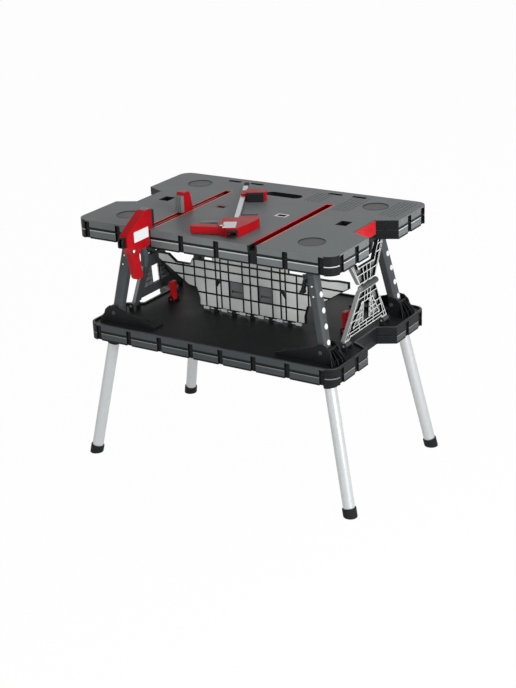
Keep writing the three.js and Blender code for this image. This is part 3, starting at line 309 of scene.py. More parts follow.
def node_mesh(name):
    """Return a bmesh with a merged copy of a CAD node, its flat faces made whole except undersides."""
    bm = bmesh.new()
    bm.from_mesh(frame["nodes"][name].data)
    bmesh.ops.remove_doubles(bm, verts=bm.verts, dist=WELD)
    edges = [e for e in bm.edges if all(f.normal.z > -FACING for f in e.link_faces)]
    bmesh.ops.dissolve_limit(bm, angle_limit=FLAT, verts=bm.verts, edges=edges)
    return bm


def add_object(name, data):
    """Return a new object in the scene."""
    made = bpy.data.objects.new(name, data)
    bpy.context.scene.collection.objects.link(made)
    return made


def set_finish(faces, index):
    """Give faces a finish by its index."""
    for face in faces:
        face.material_index = index


def bevel(bm, edges, width, segments=2, clamp=True):
    """Round edges of a mesh."""
    bmesh.ops.bevel(bm, geom=list(edges), offset=width, offset_type="OFFSET", segments=segments, profile=0.5,
                    affect="EDGES", clamp_overlap=clamp, material=-1)


FOLDED_LIMIT = 8 * MM * MM
ROUND_SHARES = (1, 0.6, 0.3)


def folded_area(bm):
    """Return by how much the faces' triangles cover more than the faces themselves."""
    covered = sum(area_tri(*(corner.vert.co for corner in three)) for three in bm.calc_loop_triangles())
    return covered - sum(face.calc_area() for face in bm.faces)


def round_edges(bm, picked, width, segments=2):
    """Round the edges that a test picks, by less or not at all where a face would fold over itself."""
    allowed = folded_area(bm) + FOLDED_LIMIT
    for share in ROUND_SHARES:
        trial = bm.copy()
        bevel(trial, [e for e in trial.edges if picked(e)], width * share, segments, clamp=False)
        sound = folded_area(trial) < allowed
        if sound:
            kept = bpy.data.meshes.new("rounded")
            trial.to_mesh(kept)
            bm.clear()
            bm.from_mesh(kept)
            bpy.data.meshes.remove(kept)
        trial.free()
        if sound:
            return


SHORTEST = 2.2


def soften(bm, width):
    """Round the sharp outer edges that are long enough for it."""
    def sharp(edge):
        outer = edge.is_manifold and edge.is_convex and edge.calc_face_angle(0) > SHARP
        return outer and edge.calc_length() > SHORTEST * width
    round_edges(bm, sharp, width, bpy.context.scene.bench_sizes.round_steps)


def split(bm, point, direction):
    """Cut a line round a mesh where a plane meets it."""
    parts = [*bm.verts, *bm.edges, *bm.faces]
    bmesh.ops.bisect_plane(bm, geom=parts, plane_co=point, plane_no=direction, dist=CUT)


def paint(bm, *rules):
    """Give each face the finish of the first rule that it meets.

    A rule is the finish's index and a test of a face's centre and normal.
    """
    for face in bm.faces:
        centre, normal = face.calc_center_median(), face.normal
        face.material_index = next((index for index, test in rules if test(centre, normal)), 0)


def make_piece(bm, name, body, finishes, replaced=()):
    """Turn a bmesh into a finished piece that rides on a body."""
    for face in bm.faces:
        face.smooth = True
    for edge in bm.edges:
        edge.smooth = edge.is_manifold and edge.calc_face_angle(0) < SHARP
    mesh = bpy.data.meshes.new(name)
    bm.to_mesh(mesh)
    bm.free()
    if "custom_normal" in mesh.attributes:
        mesh.attributes.remove(mesh.attributes["custom_normal"])
    for finish in finishes:
        mesh.materials.append(FINISH[finish])
    piece = add_object(name, mesh)
    piece.modifiers.new("even_shading", "WEIGHTED_NORMAL").keep_sharp = True
    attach(piece, body)
    if replaced:
        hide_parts(*replaced)
    return piece


def dress(node, body, finishes, width=None, shape=None, rules=()):
    """Make a piece from a CAD node: shaped, its edges softened, then painted by rules."""
    bm = node_mesh(node)
    if shape:
        shape(bm)
    soften(bm, width or bpy.context.scene.bench_sizes.small_round)
    paint(bm, *rules)
    return make_piece(bm, f"{node}_skin", body, finishes, (node,))


def add_block(bm, low, high, place=Matrix(), material=0, width=0.0):
    """Add a box between two corners, in a place, with its edges rounded."""
    made = bmesh.ops.create_cube(bm, size=1)["verts"]
    low, high = Vector(low), Vector(high)
    size = Matrix.Diagonal(high - low).to_4x4()
    bmesh.ops.transform(bm, verts=made, matrix=place @ Matrix.Translation((low + high) / 2) @ size)
    set_finish({f for v in made for f in v.link_faces}, material)
    if width:
        bevel(bm, {e for v in made for e in v.link_edges}, width)


def add_rod(bm, start, end, radius, sides=32, material=0, width=0.0):
    """Add a round bar from one point to another, with its rims rounded."""
    start, end = Vector(start), Vector(end)
    along = end - start
    turn = along.to_track_quat("Z", "Y").to_matrix().to_4x4()
    place = Matrix.Translation((start + end) / 2) @ turn
    made = bmesh.ops.create_cone(bm, cap_ends=True, segments=sides, radius1=radius, radius2=radius,
                                 depth=along.length, matrix=place)["verts"]
    faces = {f for v in made for f in v.link_faces}
    set_finish(faces, material)
    if width:
        bevel(bm, {e for f in faces if len(f.verts) > 4 for e in f.edges}, width)


# Worktop and tray


# Corners, notches, skin and seam of the two boards
CORNER_RADIUS = 34 * MM
POST_WIDTH = 20 * MM
NOTCH_HALF = 89 * MM
NOTCH_DEEP = 66 * MM
SKIN_DEPTH, SLOT_DEPTH = 1.2 * MM, 6 * MM
SEAM_GAP, SEAM_SLACK = 3 * MM, 0.2 * MM


def board_inset(point, low, high):
    """Return how far a point lies inside a board's ends and inside its front or rear."""
    return high.x - abs(point.x), (high.y - low.y) / 2 - abs(point.y - MIDDLE_Y)


def inset_of(point, low, high):
    """Return how far a point lies inside the rounded outline of a board, in metres."""
    from_x, from_y = board_inset(point, low, high)
    if max(from_x, from_y) < CORNER_RADIUS:
        return CORNER_RADIUS - Vector((CORNER_RADIUS - from_x, CORNER_RADIUS - from_y)).length
    return min(from_x, from_y)


def board_rules(low, high, *more):
    """Return rules that paint shade into a board's slots and notches in black, and onto its corner posts."""
    def upright(normal):
        return abs(normal.z) < UPRIGHT

    # Painted shade: the slots' floors and walls are black
    def slot(centre, normal):
        return upright(normal) and SKIN_DEPTH < inset_of(centre, low, high) < SLOT_DEPTH

    # Painted shade: the notches' walls are black
    def notch(centre, normal):
        at_end = SKIN_DEPTH < high.x - abs(centre.x) < NOTCH_DEEP
        return upright(normal) and at_end and abs(centre.y - MIDDLE_Y) < NOTCH_HALF

    # Painted shade: the rounded corner posts are nearly black
    def post(centre, normal):
        from_x, from_y = board_inset(centre, low, high)
        return upright(normal) and max(from_x, from_y) < CORNER_RADIUS and min(from_x, from_y) < POST_WIDTH
    return ((1, slot), (1, notch), *more, (2, post))


# Faces of slots: largest area, depth and drop of ceilings, depth of walls
SLOT_AREA = 200 * MM * MM
CEILING_DEPTH, CEILING_DROP = 3 * MM, 12 * MM
WALL_FROM, WALL_TO = 1 * MM, 4 * MM
RIM_DROP, RIM_DEPTH = 0.1 * MM, 0.9 * MM


def raise_slots(bm, low, high, rise):
    """Run the skirt's slots further up towards the rim."""
    def ceiling(face):
        centre = face.calc_center_median()
        near = inset_of(centre, low, high) < CEILING_DEPTH and centre.z > high.z - CEILING_DROP
        return near and face.normal.z < -FACING and face.calc_area() < SLOT_AREA
    verts = {v for f in bm.faces if ceiling(f) for v in f.verts}
    bmesh.ops.translate(bm, verts=list(verts), vec=(0, 0, rise))


def widen_slots(bm, low, high, side, end):
    """Move the slots' walls apart, by one amount at the front and rear and another at the ends."""
    for axis, other, amount in ((0, 1, side), (1, 0, end)):
        walls = [f for f in bm.faces if abs(f.normal[axis]) > SQUARE and f.calc_area() < SLOT_AREA
                 and WALL_FROM < inset_of(f.calc_center_median(), low, high) < WALL_TO
                 and board_inset(f.calc_center_median(), low, high)[other] < WALL_TO]
        moved = {v: -f.normal[axis] for f in walls for v in f.verts}
        for vert, way in moved.items():
            vert.co[axis] += amount if way > 0 else -amount


def round_rim(bm, low, high, width):
    """Round the upper outline of a board."""
    def on_rim(edge):
        at_top = all(v.co.z > high.z - RIM_DROP for v in edge.verts)
        outside = all(inset_of(v.co, low, high) < RIM_DEPTH for v in edge.verts)
        return at_top and outside and edge.calc_face_angle(0) > SHARP
    round_edges(bm, on_rim, width, 3)


def dress_board(name, body, finishes, box, band, rise, more=()):
    """Dress a board's deck and its lower skirt; the band is the height of the upper skirt."""
    sizes = bpy.context.scene.bench_sizes
    low, high = box
    seam = high.z - band
    foot_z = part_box(f"{name}_frame")[0].z
    seat = seam - SEAM_GAP

    def shape_deck(bm):
        widen_slots(bm, low, high, sizes.slot_side, sizes.slot_end)
        raise_slots(bm, low, high, rise)
        round_rim(bm, low, high, sizes.rim_round)
        split(bm, Vector((0, 0, seam + sizes.lip_line)), Z_AXIS)

    def shape_frame(bm):
        widen_slots(bm, low, high, sizes.slot_side, sizes.slot_end)
        for height in (seat - sizes.light_line, foot_z + sizes.shadow_line):
            split(bm, Vector((0, 0, height)), Z_AXIS)

    def outer(centre):
        return inset_of(centre, low, high) < SKIN_DEPTH

    # Painted shade: a black bead along the upper band's lower edge, where the groove between the bands lies
    def lip(centre, normal):
        return outer(centre) and centre.z < seam + sizes.lip_line and normal.z < 0.8

    # Painted highlight: a pale bead along the lower band's upper edge
    def bead(centre, normal):
        return outer(centre) and seat - sizes.light_line < centre.z < seat + SEAM_SLACK

    # Painted shadow: a black bead along the skirt's lower edge
    def foot(centre, normal):
        return outer(centre) and centre.z < foot_z + sizes.shadow_line

    # Painted shade: the frame above its seat, which shows through the groove between the bands, is black
    def tongue(centre, normal):
        return centre.z > seat + SEAM_SLACK
    dress(f"{name}_deck", body, finishes, shape=shape_deck,
          rules=board_rules(low, high, (1, lip), *more))
    dress(f"{name}_frame", body, finishes, shape=shape_frame,
          rules=board_rules(low, high, (1, foot), (3, bead), (1, tongue)))


DISCS = tuple(spot(side * 304, front * 180, 754) for side in (-1, 1) for front in (-1, 1))
DISC_RADIUS = 38 * MM
HOLE_TOP, HOLE_FLOOR, HOLE_DEPTH, HOLE_INSET = 0.2 * MM, 2 * MM, 34 * MM, 9 * MM
TOP_BAND, TRAY_BAND = 25 * MM, 24 * MM
TRAY_SLOT_RISE = 1 * MM
RING_WIDTH, RING_RISE = 2 * MM, 0.3 * MM


def disc_rings():
    """Make the dark raised ring round each disc of the worktop: painted shade of the groove round the disc.
    """
    bm = bmesh.new()
    top = TOP_HIGH.z
    for place in DISCS:
        corners = ((-RING_WIDTH, -1 * MM), (0, -1 * MM), (0, RING_RISE), (-RING_WIDTH, RING_RISE))
        middle = Vector((place.x, place.y, top))
        verts = [bm.verts.new(middle + Vector((DISC_RADIUS + x, 0, z))) for x, z in corners]
        edges = [bm.edges.new((verts[i - 1], verts[i])) for i in range(len(verts))]
        bmesh.ops.spin(bm, geom=verts + edges, cent=middle, axis=Z_AXIS, angle=2 * pi, steps=48,
                       use_merge=True)
    bmesh.ops.recalc_face_normals(bm, faces=bm.faces)
    make_piece(bm, "worktop_disc_rings", "worktop", ("black",))


class BENCH_OT_worktop(Operator):
    """Dress the worktop's deck and its lower skirt"""
    bl_idname = "bench.worktop"
    bl_label = "Worktop"

    def execute(self, context):
        # Painted shade: the walls and floors of the worktop's deep holes and slots are black
        def hole(centre, normal):
            deep = TOP_HIGH.z - HOLE_DEPTH < centre.z < TOP_HIGH.z - HOLE_TOP
            floor = normal.z > UPRIGHT and centre.z < TOP_HIGH.z - HOLE_FLOOR
            inner = inset_of(centre, TOP_LOW, TOP_HIGH) > HOLE_INSET
            return deep and inner and (abs(normal.z) < UPRIGHT or floor)

        def disc(centre, normal):
            near = min((centre - place).xy.length for place in DISCS)
            sunk = centre.z < TOP_HIGH.z - 0.5 * MM
            return normal.z > FACING and near < DISC_RADIUS - 1 * MM and sunk
        rise = context.scene.bench_sizes.slot_rise
        dress_board("worktop", "worktop", ("grey", "black", "post", "bright", "dim"),
                    (TOP_LOW, TOP_HIGH), TOP_BAND, rise, ((1, hole), (4, disc)))
        disc_rings()
        return {"FINISHED"}


RIDGE_FIELDS = ((84, 142, 150, 238), (204, 258, 100, 236), (350, 410, 108, 248))


class BENCH_OT_ridges(Operator):
    """Lay the fine ridges on the worktop, in the deeper grey as painted shade"""
    bl_idname = "bench.ridges"
    bl_label = "Worktop ridges"

    def execute(self, context):
        sizes = context.scene.bench_sizes
        bm = bmesh.new()
        half = sizes.ridge_width / 2
        top = TOP_HIGH.z
        for from_x, to_x, from_y, to_y in RIDGE_FIELDS:
            count = int((to_x - from_x) * MM / sizes.ridge_pitch) + 1
            for number in range(count):
                x = from_x * MM + number * sizes.ridge_pitch
                low = spot(0, from_y, 0) + Vector((x - half, 0, top - 0.3 * MM))
                high = spot(0, to_y, 0) + Vector((x + half, 0, top + sizes.ridge_height))
                add_block(bm, low, high, width=0.3 * MM)
        make_piece(bm, "worktop_ridges", "worktop", ("dim",))
        return {"FINISHED"}


RAIL_MOUTH = 26 * MM
RAIL_WALL, BEAD_WIDTH, BEAD_DEPTH = 4 * MM, 1.8 * MM, 0.7 * MM
SLEEVE_X, SLEEVE_HALF_X, SLEEVE_HALF_Y, SLEEVE_WALL = 300, 16.8, 20.3, 1.4
SLEEVE_LOW, SLEEVE_TOP = 726, 754.2


def latch_sleeve(end, side):
    """Make the black sleeve that lines a latch hole: painted shade inside the hole."""
    bm = bmesh.new()
    x, wall = side * SLEEVE_X, SLEEVE_WALL
    for way in (-1, 1):
        far, near = way * SLEEVE_HALF_X, way * (SLEEVE_HALF_X - wall)
        faces = sorted((x + far, x + near))
        add_block(bm, spot(faces[0], -SLEEVE_HALF_Y, SLEEVE_LOW), spot(faces[1], SLEEVE_HALF_Y, SLEEVE_TOP),
                  width=0.3 * MM)
        faces = sorted((way * SLEEVE_HALF_Y, way * (SLEEVE_HALF_Y - wall)))
        inner = SLEEVE_HALF_X - wall
        add_block(bm, spot(x - inner, faces[0], SLEEVE_LOW), spot(x + inner, faces[1], SLEEVE_TOP),
                  width=0.3 * MM)
    make_piece(bm, f"latch_sleeve_{end}", "worktop", ("black",))


def rail_seat(end):
    """Make the black block under the mouth of a rail: painted shade in the opening."""
    bm = bmesh.new()
    low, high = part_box(f"clamp_rail_{end}")
    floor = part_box("worktop_frame")[1].z
    add_block(bm, (low.x + 0.5 * MM, low.y + 1 * MM, floor + 0.1 * MM),
              (high.x - 0.5 * MM, low.y + 2 * RAIL_MOUTH, low.z - 0.2 * MM), width=0.4 * MM)
    make_piece(bm, f"rail_seat_{end}", "worktop", ("black",))


class BENCH_OT_red_fittings(Operator):
    """Dress the rails, end grips, sockets and closing latches"""
    bl_idname = "bench.red_fittings"
    bl_label = "Red fittings"

    def execute(self, context):
        top = TOP_HIGH.z
        for end, side in ENDS:
            low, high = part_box(f"clamp_rail_{end}")
            beads = (low.x + BEAD_WIDTH, high.x - BEAD_WIDTH)
            mouth = low.y + RAIL_MOUTH

            def cut_beads(bm):
                split(bm, Vector((0, mouth, 0)), Y_AXIS)
                for x in beads:
                    split(bm, Vector((x, 0, 0)), X_AXIS)

            # Painted shade: the inside of the rail's mouth is black
            def front_end(centre, normal):
                return centre.y < mouth

            def front_rim(centre, normal):
                return centre.y < mouth and centre.z > top - BEAD_DEPTH

            def bead(centre, normal):
                at_side = centre.x > beads[1] or side < 0 and centre.x < beads[0]
                return at_side and centre.z > top - BEAD_DEPTH

            def channel(centre, normal):
                between = low.x + RAIL_WALL < centre.x < high.x - RAIL_WALL
                return between and centre.z < top - BEAD_DEPTH
            finishes = ("red", "black", "flame", "deep_red", "grey")
            dress(f"clamp_rail_{end}", "worktop", finishes, shape=cut_beads,
                  rules=((4, front_rim), (1, front_end), (2, bead), (3, channel)))

            def upper_edge(centre, normal):
                return normal.z > 0.7

            def tooth_side(centre, normal):
                return normal.y > 0.3
            dress(f"end_grip_{end}", "worktop", ("red", "dim", "deep_red"),
                  rules=((1, upper_edge), (2, tooth_side)))

            def rim(centre, normal):
                return centre.z > top - 0.8 * MM
            # Painted highlight: the right socket's rim is white, the left one's the worktop grey
            around = "label" if side > 0 else "grey"
            dress(f"bench_socket_{end}", "worktop", ("deep_red", around), rules=((1, rim),))
            dress(f"closing_latch_{end}", f"closing_latch_{end}", ("red",))
            latch_sleeve(end, side)
            rail_seat(end)
        return {"FINISHED"}


class BENCH_OT_tray(Operator):
    """Dress the tray's deck and its lower skirt"""
    bl_idname = "bench.tray"
    bl_label = "Tray"

    def execute(self, context):
        def inside(centre, normal):
            rim = normal.z > FACING and abs(centre.z - TRAY_EDGE.z) < 0.5 * MM
            sunk = inset_of(centre, TRAY_LOW, TRAY_EDGE) > 2.5 * MM and not rim
            return sunk or abs(normal.x) > 0.7
        # On the tray the grey nylon paints the pale bead's highlight
        dress_board("tray", "tray", ("slate", "black", "black", "nylon", "floor"),
                    (TRAY_LOW, TRAY_EDGE), TRAY_BAND, TRAY_SLOT_RISE, ((4, inside),))
        return {"FINISHED"}


# Folding panels


LONG_COLUMNS = (0, 26.5, 74.5, 103, 120, 158, 196, 236)
LIP_HALF, LIP_RISE, LIP_THICK = 132, 16, 9.2
LONG_ROWS = (49, 97, 125)
LONG_TOP = 150


def cut_lines(bm, facing, places):
    """Split the faces that look one way along planes, each a point and a direction."""
    for point, direction in places:
        faces = [f for f in bm.faces if f.normal.dot(facing) > SQUARE]
        parts = {v for f in faces for v in f.verts} | {e for f in faces for e in f.edges} | set(faces)
        bmesh.ops.bisect_plane(bm, geom=list(parts), plane_co=point, plane_no=direction, dist=CUT)


def merge_cells(bm, facing, places):
    """Take out the edges between faces of one cell, which lie on none of the cutting planes."""
    def on_plane(edge):
        return any(all(abs((v.co - point).dot(direction)) < WELD for v in edge.verts)
                   for point, direction in places)
    loose = [e for e in bm.edges if e.is_manifold and not on_plane(e)
             and all(f.normal.dot(facing) > SQUARE for f in e.link_faces)
             and e.calc_face_angle(0) < FLAT]
    bmesh.ops.dissolve_edges(bm, edges=loose, use_verts=False)


def raise_cells(bm, facing, width, depth, level):
    """Sink a grid of grooves round the faces that look one way and lie near a level, painted black as shade.
    """
    faces = [f for f in bm.faces if f.normal.dot(facing) > SQUARE
             and abs(f.calc_center_median().dot(facing) - level) < 0.5 * MM and f.calc_area() > 40 * MM * MM]
    rims = {v for f in faces for v in f.verts}
    made = bmesh.ops.inset_individual(bm, faces=faces, thickness=width, use_even_offset=True)["faces"]
    # Painted shade: the grooves are black
    set_finish(made, 1)
    bmesh.ops.translate(bm, verts=list(rims), vec=-depth * facing)


def long_panel_lip(sizes):
    """Make the row of cells along the long panel's upper edge, between the struts' places when folded."""
    bm = bmesh.new()
    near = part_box("long_panel")[0].y
    foot = JOINT_AT["long_panel_fold"].z + LONG_TOP * MM
    gap = sizes.groove_width
    # A black block behind the cells shows between them as painted shade in the grooves
    add_block(bm, (-LIP_HALF * MM, near + 2 * MM, foot - 1 * MM),
              (LIP_HALF * MM, near + (LIP_THICK - 2) * MM, foot + (LIP_RISE - 1) * MM), material=1)
    inner = {side * x for x in LONG_COLUMNS for side in (-1, 1) if x < LIP_HALF}
    columns = sorted(inner | {-LIP_HALF, LIP_HALF})
    for left, right in zip(columns, columns[1:]):
        add_block(bm, (left * MM + gap, near + 0.2 * MM, foot + gap),
                  (right * MM - gap, near + LIP_THICK * MM, foot + LIP_RISE * MM), width=0.5 * MM)
    make_piece(bm, "long_panel_lip", "long_panel", ("pale", "black"))


class BENCH_OT_long_panel(Operator):
    """Dress the long panel with its grooved cells and its pin"""
    bl_idname = "bench.long_panel"
    bl_label = "Long panel"

    def execute(self, context):
        sizes = context.scene.bench_sizes
        bm = node_mesh("long_panel")
        low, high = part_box("long_panel")
        pin = JOINT_AT["long_panel_fold"]
        columns = sorted({side * x for x in LONG_COLUMNS for side in (-1, 1)})
        lines = [(Vector((x * MM, 0, 0)), X_AXIS) for x in columns]
        lines += [(Vector((0, 0, pin.z + z * MM)), Z_AXIS) for z in LONG_ROWS]
        # Painted shade: faces sunk in the panel are black, except that those looking to the front take the
        # grey nylon
        for face in bm.faces:
            sunk = low.y + 2 * MM < face.calc_center_median().y < high.y - 2 * MM
            if sunk and face.normal.y < -FACING:
                face.material_index = 2
            elif sunk:
                face.material_index = 1
        for facing, level in ((-Y_AXIS, -low.y), (Y_AXIS, high.y)):
            cut_lines(bm, facing, lines)
            merge_cells(bm, facing, lines)
            raise_cells(bm, facing, sizes.groove_width, sizes.groove_depth, level)
        make_piece(bm, "long_panel_skin", "long_panel", ("pale", "black", "nylon"),
                   ("long_panel",))
        long_panel_lip(sizes)
        dress("long_panel_pin", "tray", ("steel",))
        return {"FINISHED"}


PANEL_THICK, PANEL_RIB = 12 * MM, 2 * MM
PANEL_FOOT, PANEL_WAIST = 124 * MM, 46 * MM
PANEL_LOW, PANEL_TOP = 9 * MM, 131.3 * MM
PANEL_HINGE_X = 365
PANEL_HINGE_Z = {"lower": 447, "upper": 731}


def panel_axes(end, side, half):
    """Return the hinge of half an end panel, the way to its knee and the way out of the bench's end."""
    hinge = spot(side * PANEL_HINGE_X, 0, PANEL_HINGE_Z[half])
    up = JOINT_AT[f"{end}_knee"] - hinge
    up.y = 0
    up.normalize()
    out = Vector((side, 0, 0))
    out = (out - up * out.dot(up)).normalized()
    return hinge, up, out


def panel_rules(hinge, up, out):
    """Return rules that paint an end panel's ribs paler as highlight and blacken the walls of its pockets as
    painted shade.
    """
    def along(centre):
        return (centre - hinge).dot(up)

    def midway(centre):
        return PANEL_LOW < along(centre) < PANEL_TOP

    def sunk(centre):
        return -(centre - hinge).dot(out)

    def rib(centre, normal):
        return normal.dot(out) > 0.3 and sunk(centre) < PANEL_RIB and midway(centre)

    def border(centre):
        share = (along(centre) - PANEL_LOW) / (PANEL_TOP - PANEL_LOW)
        return PANEL_FOOT + (PANEL_WAIST - PANEL_FOOT) * share - abs(centre.y - MIDDLE_Y)

    # Painted shade: the pockets' walls and the gaps at the pivot are black, the pockets' webs dark
    def pocket(centre, normal):
        walled = abs(normal.dot(out)) < 0.5 and 1 * MM < sunk(centre) < PANEL_THICK
        return walled and border(centre) > 1.5 * MM and midway(centre)

    def gap(centre, normal):
        return along(centre) > PANEL_TOP and abs(normal.y) > FACING and border(centre) > -0.3 * MM

    def web(centre, normal):
        return normal.dot(out) > 0.5 and sunk(centre) > PANEL_RIB and midway(centre)

    def back(centre, normal):
        return normal.dot(out) < -0.5 and midway(centre)

    def pivot(centre, normal):
        return not midway(centre) and abs(normal.y) < FACING
    return ((1, rib), (2, pocket), (2, gap), (3, web), (4, back), (4, pivot))


INFILL_LOW, INFILL_TOP = 38, 95
INFILL = ((72, INFILL_LOW), (19, INFILL_LOW), (19, INFILL_TOP), (30, INFILL_TOP))
INFILL_RIBS = (((62, 52), (19, 52)), ((51, 67), (19, 67)), ((40, 82), (19, 82)),
               ((45, INFILL_LOW), (24, INFILL_TOP)), ((20.5, INFILL_LOW), (20.5, INFILL_TOP)))
WEB_FROM, WEB_TO, RIB_FROM, RIB_HALF = 5, 9, 0.8, 1.5


def add_prism(bm, outline, depth, material=0):
    """Add a prism on an outline, as deep as a vector, with its faces turned outwards."""
    near = [bm.verts.new(point) for point in outline]
    far = [bm.verts.new(point + depth) for point in outline]
    faces = [bm.faces.new(near), bm.faces.new(far[::-1])]
    faces += [bm.faces.new((near[i - 1], far[i - 1], far[i], near[i])) for i in range(len(near))]
    set_finish(faces, material)
    bmesh.ops.recalc_face_normals(bm, faces=faces)


def panel_infill(end, side):
    """Make the ribbed web on both sides of the latch slot in the lower half of an end panel."""
    hinge, up, out = panel_axes(end, side, "lower")
    bm = bmesh.new()

    def at(y, along, depth):
        return hinge + Vector((0, y * MM, 0)) + up * along * MM - out * depth * MM
    for way in (-1, 1):
        add_prism(bm, [at(way * y, z, WEB_FROM) for y, z in INFILL], -out * (WEB_TO - WEB_FROM) * MM)
        for (y_a, z_a), (y_b, z_b) in INFILL_RIBS:
            run = Vector((y_b - y_a, z_b - z_a)).normalized() * RIB_HALF
            outline = [(y_a - run.y, z_a + run.x), (y_b - run.y, z_b + run.x), (y_b + run.y, z_b - run.x),
                       (y_a + run.y, z_a - run.x)]
            points = [at(way * y, min(max(z, INFILL_LOW), INFILL_TOP), RIB_FROM) for y, z in outline]
            add_prism(bm, points, -out * (WEB_TO - RIB_FROM) * MM, 1)
    make_piece(bm, f"end_panel_web_{end}", f"end_panel_{end}_lower", ("web", "rib"))


class BENCH_OT_end_panels(Operator):
    """Dress the four halves of the end panels and their knee pins"""
    bl_idname = "bench.end_panels"
    bl_label = "End panels"

    def execute(self, context):
        for end, side in ENDS:
            for half in ("lower", "upper"):
                node = f"end_panel_{end}_{half}"
                rules = panel_rules(*panel_axes(end, side, half))
                dress(node, node, ("border", "rib", "black", "web", "coal"), rules=rules)
            panel_infill(end, side)
            dress(f"knee_pin_{end}", f"end_panel_{end}_lower", ("steel",))
        return {"FINISHED"}


# Struts and legs


LEAN_X, LEAN_Y = 0.205, 0.1
STRUT_HALF = 16 * MM
DOT_FIRST, DOT_PITCH, DOTS = 20 * MM, 44.3 * MM, 4


def strut_axes(side, front):
    """Return the direction up a strut and the one that looks out of the bench's end."""
    up = Vector((-LEAN_X * side, -LEAN_Y * front, 1)).normalized()
    out = Vector((side * up.z, 0, -side * up.x)).normalized()
    return up, out


LEVER_RIBS = (-8, -15, -22, -29, -36)
LEVER_TILT = radians(24)
LEVER_RIB_LOW, LEVER_RIB_HIGH = Vector((-5.5, -6.2, -1.5)), Vector((-2, 6.2, 1.5))
RIVETS, RIVET_RADIUS = (150, 178), 2.6
PLUG_DEPTH, PLUG_PROUD = 3, 0.5


def round_long_edges(bm):
    """Round the edges that run the length of a strut."""
    def lengthwise(edge):
        return edge.calc_length() > 150 * MM and edge.calc_face_angle(0) > radians(20)
    round_edges(bm, lengthwise, bpy.context.scene.bench_sizes.strut_round, 3)


def strut_fittings(corner, side, front):
    """Make a strut's pale plugs and the rivets near its top."""
    up, out = strut_axes(side, front)
    foot = JOINT_AT[f"strut_fold_{corner}"]
    bm = bmesh.new()
    for number in range(DOTS):
        at = foot + up * (DOT_FIRST + number * DOT_PITCH) + out * STRUT_HALF
        add_rod(bm, at - out * PLUG_DEPTH * MM, at + out * PLUG_PROUD * MM,
                bpy.context.scene.bench_sizes.dot_radius, width=0.5 * MM)
    across = Vector((0, front, 0))
    across = (across - up * across.dot(up)).normalized()
    for height in RIVETS:
        at = foot + up * height * MM + across * STRUT_HALF
        add_rod(bm, at - across * MM, at + across * 1.2 * MM, RIVET_RADIUS * MM, 20, width=0.8 * MM)
    make_piece(bm, f"strut_plugs_{corner}", f"strut_{corner}", ("label",))


def lever_ribs(corner, side, front):
    """Make the ribs across a strut's lever."""
    up, out = strut_axes(side, front)
    at = JOINT_AT[f"strut_latch_{corner}"]
    across = up.cross(out)
    turn = Matrix.Rotation(LEVER_TILT * side, 3, Y_AXIS)
    axes = Matrix((turn @ out, across, turn @ up)).transposed().to_4x4()
    place = Matrix.Translation(at) @ axes
    bm = bmesh.new()
    for height in LEVER_RIBS:
        middle = Vector((0, 0, height))
        add_block(bm, (middle + LEVER_RIB_LOW) * MM, (middle + LEVER_RIB_HIGH) * MM, place, width=0.7 * MM)
    make_piece(bm, f"strut_lever_ribs_{corner}", f"strut_latch_{corner}", ("coal",))


class BENCH_OT_struts(Operator):
    """Dress the struts, their pale plugs, their levers and their shoes"""
    bl_idname = "bench.struts"
    bl_label = "Struts"

    def execute(self, context):
        for corner, side, front in CORNERS:
            body = f"strut_{corner}"
            dress(body, body, ("coal",), shape=round_long_edges)
            strut_fittings(corner, side, front)
            dress(f"strut_latch_{corner}", f"strut_latch_{corner}", ("black",))
            lever_ribs(corner, side, front)
            dress(f"strut_shoe_{corner}", "tray", ("black",))
        return {"FINISHED"}


class BENCH_OT_legs(Operator):
    """Dress the legs: hinge blocks, aluminium tubes and foot caps"""
    bl_idname = "bench.legs"
    bl_label = "Legs"

    def execute(self, context):
        for corner, _, _ in CORNERS:
            body = f"leg_{corner}"
            dress(f"leg_hinge_{corner}", body, ("black",))
            dress(f"leg_tube_{corner}", body, ("aluminium",))
            dress(f"leg_foot_{corner}", body, ("rubber",), 1.6 * MM)
        return {"FINISHED"}


# Clamps


LOOSE_TURN = radians(28.2)
MOUNTED_AT, LOOSE_AT = (-175, -275.3, 746.8), (41, -147, 768.3)
LABELS = {"mounted_clamp": ((-72, -6), (-10, 20)), "loose_clamp": ((-98, -44), (-28, 8))}
LABEL_FOOT, LABEL_FACE = 12.8, 13.4
TIP_FROM, CAP_FROM = 354, 60


def clamp_place(prefix):
    """Return the place of a clamp: y along its bar, z towards its gripping side, x across, in metres."""
    if prefix == "mounted_clamp":
        return Matrix.Translation(spot(*MOUNTED_AT))
    across, along = sin(LOOSE_TURN), cos(LOOSE_TURN)
    axes = Matrix(((0, -across, along), (0, along, across), (-1, 0, 0)))
    return Matrix.Translation(spot(*LOOSE_AT)) @ axes.to_4x4()


def clamp_label(prefix, sizes):
    """Make the bare white plate on the side of a clamp that shows."""
    side = CLAMPS[prefix]
    bm = bmesh.new()
    faces = sorted((side * LABEL_FOOT * MM, side * LABEL_FACE * MM))
    (front, rear), (bottom, top) = LABELS[prefix]
    low = Vector((faces[0], front * MM, bottom * MM))
    high = Vector((faces[1], rear * MM, top * MM))
    add_block(bm, low, high)
    posts = [e for e in bm.edges if abs((e.verts[0].co - e.verts[1].co).normalized().x) > FACING]
    bevel(bm, posts, sizes.label_corner, 5)
    bmesh.ops.transform(bm, verts=bm.verts, matrix=clamp_place(prefix))
    make_piece(bm, f"{prefix}_label", prefix, ("label",))


PIN_Y, PIN_Z, PIN_FOOT = -78, -32, 12
PIN_RADIUS, PIN_FACE = 4.6, 14.4
RING_RADIUS, RING_FACE = 7.4, 13.6


